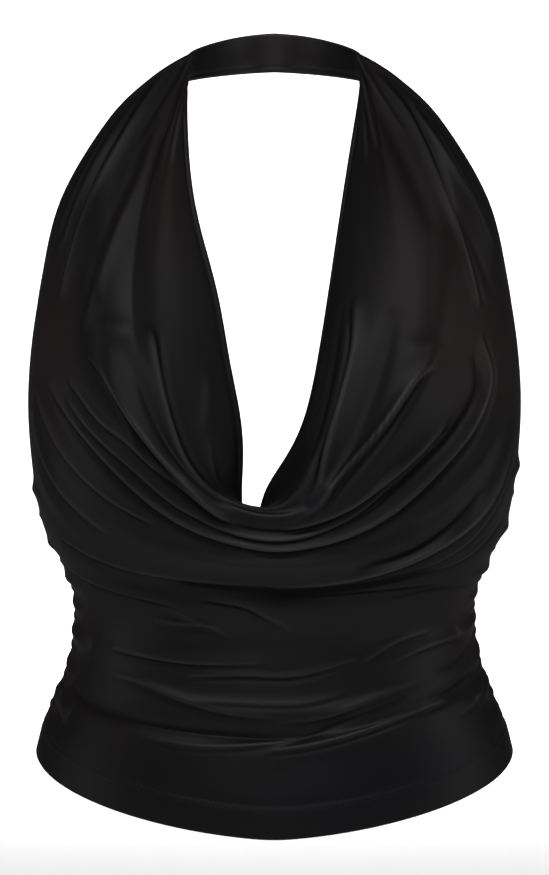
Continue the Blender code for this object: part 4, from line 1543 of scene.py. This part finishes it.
@dataclass
class BackPanel(BodyPanel):
    """The back: one low panel, ruched into the side seams that it shares with the front.

    Attributes:
        front: the front, whose side seams it takes.
        name: the piece's name.
        columns: grid columns from seam to seam.
        lines: grid lines from hem to top edge.
        cloth: the cloth's thickness in mm.
        turnings: its turned and stitched borders.
        flat: the cut's width and length in metres; not used.
        flat_area: the cut's area in square metres; not used.
    """

    front: FrontPanel
    name: str = "low_back"
    columns: int = 221
    lines: int = 181
    cloth: float = 0.9
    turnings: tuple[Turning, ...] = (
        Turning(Edge.HEM, HEM_DEPTH, 0.5, 0.5),
        Turning(Edge.NECKLINE, 8.0, 0.4, 0.3),
    )
    flat: tuple[float, float] = (0.41, 0.21)
    flat_area: float = 0.067
    grid: ClothGrid = field(init=False)

    def controls(self, side: Side, rows: np.ndarray) -> np.ndarray:
        """The rows' control points on one side, the last of them on the front's side seam.

        Args:
            side: which side.
            rows: row numbers.

        Returns:
            Control points shaped (len(rows), 4, 3).
        """
        knots = [
            [row.centre, (side.value * row.reach_x, *row.centre[1:]), (side.value * row.turn[0], *row.turn[1:])]
            for row in BACK_ROWS
        ]
        return np.concatenate([through(knots, rows), self.front.controls(side, rows)[:, 3:]], axis=1)

    def drape(self) -> None:
        """Makes the cloth's surface with its creases."""
        across = np.linspace(-1, 1, self.columns)
        rows = np.linspace(0, SEAM_ROWS - 1, self.lines)
        self.grid = ClothGrid(two_sided(across, rows, self.controls), across, rows, outward_sign=-1)
        self.grid.ease_middle()
        self.grid.lay([*BACK_CREASES, *seam_puckers(0.8)])
        self.grid.tint(BACK_PATCHES)

    def build(self, jersey: bpy.types.Material) -> bpy.types.Object:
        """Builds and dresses the back.

        Args:
            jersey: its finish.

        Returns:
            The back, standing for its solid.
        """
        piece = self.dressed(jersey)
        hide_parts("back")
        return piece


@dataclass
class NeckBand:
    """One half of the neck band, folded double, from the front's gathered end to the nape seam.

    Attributes:
        side: the wearer's side.
        height: the band's height at the nape, in mm.
        thick: its thickness in mm.
        lean: how far its upper edge leans in at the nape, in mm.
        stitch_height: height of the edge stitching above the lower edge, in mm.
        columns: grid columns from the joint to the nape.
        lines: grid lines across its height.
        flat: its cut's length and width in metres, before it is folded; not used.
    """

    side: Side
    height: float = 22.8
    thick: float = 2.0
    lean: float = 2.0
    stitch_height: float = 3.0
    columns: int = 61
    lines: int = 33
    flat: tuple[float, float] = (0.107, 0.0456)
    grid: ClothGrid = field(init=False)
    thickness: np.ndarray = field(init=False)

    SEAM_STEP: ClassVar[float] = 0.0025  # the last column's share of the length, so that the nape seam stays narrow
    DENT: ClassVar[float] = 0.28  # share of the thickness that the stitching presses in
    DENT_WIDTH: ClassVar[float] = 1.0
    WING_PULL: ClassVar[Point] = (2, 28, 4)  # the way it leaves the wing
    NAPE_PULL: ClassVar[Point] = (30, 0, -1)  # the way it leaves the nape

    @property
    def name(self) -> str:
        """The piece's name."""
        return f"neck_band_{self.side.name.lower()}_half"

    def drape(self) -> None:
        """Makes the band's middle surface, outside facing away from the neck."""
        top, bottom = (DRAPE_ROWS[index] for index in BAND_ROWS)
        high, low = np.array(top.edge, float), np.array(bottom.edge, float)
        joint = (high + low) / 2
        nape = np.array([0.0, self.thick / 2, 0.0])
        ends = np.array([joint, joint + self.WING_PULL, nape + self.NAPE_PULL, nape])
        along = np.append(np.linspace(0.0, 1.0 - self.SEAM_STEP, self.columns - 1), 1.0)
        path = bezier(ends, along)
        blend = smooth_step(along)[:, None]
        halves = (1 - blend) * (high - low) / 2 + blend * np.array([0.0, -self.lean, self.height / 2])
        levels = np.linspace(-1, 1, self.lines)
        points = np.array([path + level * halves for level in levels])
        points[:, :, 0] *= self.side.value
        self.grid = ClothGrid(points, 2 * along - 1, levels, outward_sign=self.side.value)
        self.grid.tint(BAND_PATCHES)
        dent = np.exp(-(((self.grid.up_columns() - self.stitch_height) / self.DENT_WIDTH) ** 2))
        self.thickness = self.thick * (1 - self.DENT * dent)

    def build(self, jersey: bpy.types.Material) -> bpy.types.Object:
        """Builds and dresses the half band.

        Args:
            jersey: its finish.

        Returns:
            The half band, standing for its solid.
        """
        self.drape()
        shell = ThinShell(self.name, self.grid, self.thickness)
        piece = finished_object(self.name, shell.mesh(), jersey)
        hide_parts(f"neck_band_{self.side.name.lower()}")
        return piece


# ---------------------------------------------------------------------------------------------------------------
# Sewing
# ---------------------------------------------------------------------------------------------------------------


@dataclass
class Sewing:
    """Every visible run of stitches.

    Attributes:
        thread: the thread's finish.
    """

    thread: bpy.types.Material

    SECOND_HEM_LINE: ClassVar[float] = 15.5

    def front(self, grid: ClothGrid) -> list[bpy.types.Object]:
        """Sews the front's hem, neckline and armholes.

        Args:
            grid: the front's cloth.

        Returns:
            Five runs of stitches.
        """
        return [
            *self.hem("front", grid),
            self.run("neckline_stitching", "body_jersey", grid, Edge.NECKLINE, 3.0, 0.9, inset=3),
            self.run("right_armhole_stitching", "body_jersey", grid, Edge.RIGHT_SIDE, 4.8, 0.9, 8.7, 2),
            self.run("left_armhole_stitching", "body_jersey", grid, Edge.LEFT_SIDE, 4.8, 0.9, 8.7, 2),
        ]

    def back(self, grid: ClothGrid) -> list[bpy.types.Object]:
        """Sews the back's hem and top edge."""
        return [*self.hem("back", grid), self.run("back_top_stitching", "body_jersey", grid, Edge.NECKLINE, 7.8, 0.9)]

    def hem(self, panel: str, grid: ClothGrid) -> list[bpy.types.Object]:
        """Sews a panel's hem in two lines.

        Args:
            panel: the start of both pieces' names.
            grid: the panel's cloth.

        Returns:
            The upper line, then the lower one.
        """
        return [
            self.run(f"{panel}_hem_stitching", "body_jersey", grid, Edge.HEM, HEM_DEPTH, 1.0),
            self.run(f"{panel}_hem_second_stitching", "body_jersey", grid, Edge.HEM, self.SECOND_HEM_LINE, 1.4),
        ]

    def band(self, band: NeckBand) -> list[bpy.types.Object]:
        """Sews the edge of a half band, seen on both of its faces.

        Args:
            band: the half band.

        Returns:
            A run on its outer face and one on its inner face.
        """
        return [
            self.run(f"{band.name}_{face.name.lower()}_stitching", "band_jersey", band.grid, Edge.HEM,
                     band.stitch_height, (1 - band.DENT) * band.thick, inset=2, face=face)
            for face in Face
        ]

    def path_at(self, grid: ClothGrid, edge: Edge, distance: float, thickness: float, from_row: float = 0.0,
                inset: int = 1, face: Face = Face.OUTER) -> tuple[np.ndarray, np.ndarray]:
        """A path on one face of a panel, at one distance from a border.

        Args:
            grid: the panel's cloth.
            edge: the border that the path follows.
            distance: how far from it, in mm.
            thickness: the cloth's thickness there, in mm.
            from_row: the first row it runs on.
            inset: grid steps left out at each of its ends.
            face: the face it lies on.

        Returns:
            The path's points and that face's normals at them.
        """
        run = grid.from_edge(edge)
        normals = grid.normals()
        across_rows = edge in (Edge.HEM, Edge.NECKLINE)
        points, ups = [], []
        count = len(grid.across) if across_rows else len(grid.rows)
        for index in range(inset, count - inset):
            if not across_rows and grid.rows[index] < from_row:
                continue
            line = (slice(None), index) if across_rows else (index, slice(None))
            order = np.argsort(run[line])
            reach = run[line][order]
            point = [np.interp(distance, reach, grid.points[line][order, k]) for k in range(3)]
            up = np.array([np.interp(distance, reach, normals[line][order, k]) for k in range(3)])
            up = face.value * up / np.linalg.norm(up)
            points.append(np.array(point) + up * thickness / 2)
            ups.append(up)
        return np.array(points), np.array(ups)

    def run(self, name: str, slot: str, grid: ClothGrid, edge: Edge, distance: float, thickness: float,
            from_row: float = 0.0, inset: int = 1, face: Face = Face.OUTER) -> bpy.types.Object:
        """Sews one run of stitches as a piece in that slot, on the path that path_at gives."""
        path, ups = self.path_at(grid, edge, distance, thickness, from_row, inset, face)
        return finished_object(name, Stitching(name).mesh(path, ups), self.thread)


# ---------------------------------------------------------------------------------------------------------------
# Studio
# ---------------------------------------------------------------------------------------------------------------


@dataclass(frozen=True)
class SoftLight:
    """An area light.

    Attributes:
        name: its name.
        place: its middle, in metres.
        sides: its width and height in metres.
        power: in watts.
        aim: the place it faces.
        colour: its colour.
        spread: how wide it shines, in radians.
    """

    name: str
    place: Point
    sides: Place
    power: float
    aim: Point = (0.0, -0.1, -0.25)
    colour: Colour = (1.0, 1.0, 1.0)
    spread: float = np.pi


@dataclass
class Studio:
    """A plain pale floor that sweeps up behind, soft lights and the camera.

    Attributes:
        floor_height: height of the floor in metres.
        floor_reach: how far it runs to each side, in metres.
        wall_distance: how far behind the garment it turns up.
        bend: radius of the turn.
        bend_steps: points along the turn.
        wall_height: its height behind.
        paint: the floor's colour.
        floor_roughness: the floor's roughness.
        surround: strength of the pale light from all round.
        lights: the lights.
        distance: the camera's distance in front of the nape.
        camera_height: the camera's height.
        lens: focal length in mm.
    """

    floor_height: float = -0.62
    floor_reach: float = 6.0
    wall_distance: float = 6.0
    bend: float = 1.5
    bend_steps: int = 17
    wall_height: float = 5.0
    paint: Colour = (0.9, 0.9, 0.9)
    floor_roughness: float = 0.9
    surround: float = 0.2
    lights: tuple[SoftLight, ...] = (
        SoftLight("top", (0.0, -1.4, 1.7), (3.0, 0.7), 35.0),
        SoftLight("right", (-2.0, -0.4, 0.1), (0.8, 1.6), 7.0),
        SoftLight("left", (2.0, -0.4, 0.1), (0.8, 1.6), 9.0),
        SoftLight("front", (0.0, -2.8, 0.9), (2.4, 0.8), 12.0),
        SoftLight("rear", (0.0, 2.6, 1.3), (2.6, 0.8), 9.0),
        SoftLight("floor", (0.0, 3.2, 2.6), (1.6, 1.6), 90.0, aim=(0.0, 3.4, -0.62), spread=1.6),
        SoftLight("wall", (0.0, 4.8, 2.6), (1.6, 1.6), 120.0, aim=(0.0, 7.5, -0.2), spread=2.4),
    )
    distance: float = 2.4
    camera_height: float = -0.2466
    lens: float = 154.04

    SENSOR_WIDTH: ClassVar[float] = 36.0

    def build_floor(self) -> None:
        """The floor and its curved rise behind."""
        behind = self.wall_distance + self.bend
        turns = np.linspace(0, np.pi / 2, self.bend_steps)
        profile = [(-self.floor_reach, self.floor_height)]
        profile += [
            (self.wall_distance + self.bend * np.sin(a), self.floor_height + self.bend * (1 - np.cos(a)))
            for a in turns
        ]
        profile.append((behind, self.floor_height + self.wall_height))
        verts = [(x, y, z) for y, z in profile for x in (-self.floor_reach, self.floor_reach)]
        faces = [(2 * i, 2 * i + 1, 2 * i + 3, 2 * i + 2) for i in range(len(profile) - 1)]
        mesh = bpy.data.meshes.new("pale_floor")
        mesh.from_pydata(verts, [], faces)
        mesh.shade_smooth()
        material = bpy.data.materials.new("pale_floor")
        material.use_nodes = True
        shader = material.node_tree.nodes["Principled BSDF"]
        shader.inputs["Base Color"].default_value = (*self.paint, 1.0)
        shader.inputs["Roughness"].default_value = self.floor_roughness
        mesh.materials.append(material)
        floor = bpy.data.objects.new("pale_floor", mesh)
        bpy.context.scene.collection.objects.link(floor)

    def build_lights(self) -> None:
        """The area lights, each facing the place it aims at, and a pale surround."""
        for light in self.lights:
            data = bpy.data.lights.new(light.name, "AREA")
            data.shape = "RECTANGLE"
            data.size, data.size_y = light.sides
            data.energy = light.power
            data.color = light.colour
            data.spread = light.spread
            lamp = bpy.data.objects.new(light.name, data)
            lamp.location = light.place
            lamp.rotation_euler = (Vector(light.aim) - Vector(light.place)).to_track_quat("-Z", "Y").to_euler()
            bpy.context.scene.collection.objects.link(lamp)
        world = bpy.data.worlds.new("pale_surround")
        world.use_nodes = True
        background = world.node_tree.nodes["Background"]
        background.inputs["Color"].default_value = (1.0, 1.0, 1.0, 1.0)
        background.inputs["Strength"].default_value = self.surround
        bpy.context.scene.world = world

    def build_camera(self) -> None:
        """The level camera in front of the garment."""
        data = bpy.data.cameras.new("camera")
        data.sensor_width = self.SENSOR_WIDTH
        data.lens = self.lens
        camera = bpy.data.objects.new("camera", data)
        camera.location = (0.0, -self.distance, self.camera_height)
        camera.rotation_euler = (np.pi / 2, 0.0, 0.0)
        bpy.context.scene.collection.objects.link(camera)
        bpy.context.scene.camera = camera

    def build(self) -> None:
        """Builds the floor, lights and camera, with plain colour handling."""
        bpy.context.scene.view_settings.view_transform = "Standard"
        self.build_floor()
        self.build_lights()
        self.build_camera()


# ---------------------------------------------------------------------------------------------------------------
# The whole top
# ---------------------------------------------------------------------------------------------------------------


def main() -> None:
    """Builds the top and the studio."""
    logging.basicConfig(level=logging.INFO, format="%(message)s")
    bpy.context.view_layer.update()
    effects = JerseyEffects()
    body_jersey = JerseyFinish("black_body_jersey").material(effects)
    band_finish = JerseyFinish("black_band_jersey", gloss=0.115, knit_height=0.00005, crinkle_height=0.0002)
    band_jersey = band_finish.material(effects)
    thread = ThreadFinish().material()

    front = FrontPanel()
    back = BackPanel(front)
    bands = [NeckBand(side) for side in Side]
    front_piece = front.build(body_jersey)
    back_piece = back.build(body_jersey)
    band_pieces = [band.build(band_jersey) for band in bands]

    sewing = Sewing(thread)
    front_sewing = sewing.front(front.grid)
    back_sewing = sewing.back(back.grid)
    band_sewing = [sewing.band(band) for band in bands]
    [piece.name for piece in band_pieces]
    front_piece.name
    for piece in (front_piece, back_piece, *band_pieces, *front_sewing, *back_sewing, *sum(band_sewing, [])):
        LOG.info("%s: %d faces", piece.name, len(piece.data.polygons))

    Studio().build()


if __name__ == "__main__":
    main()
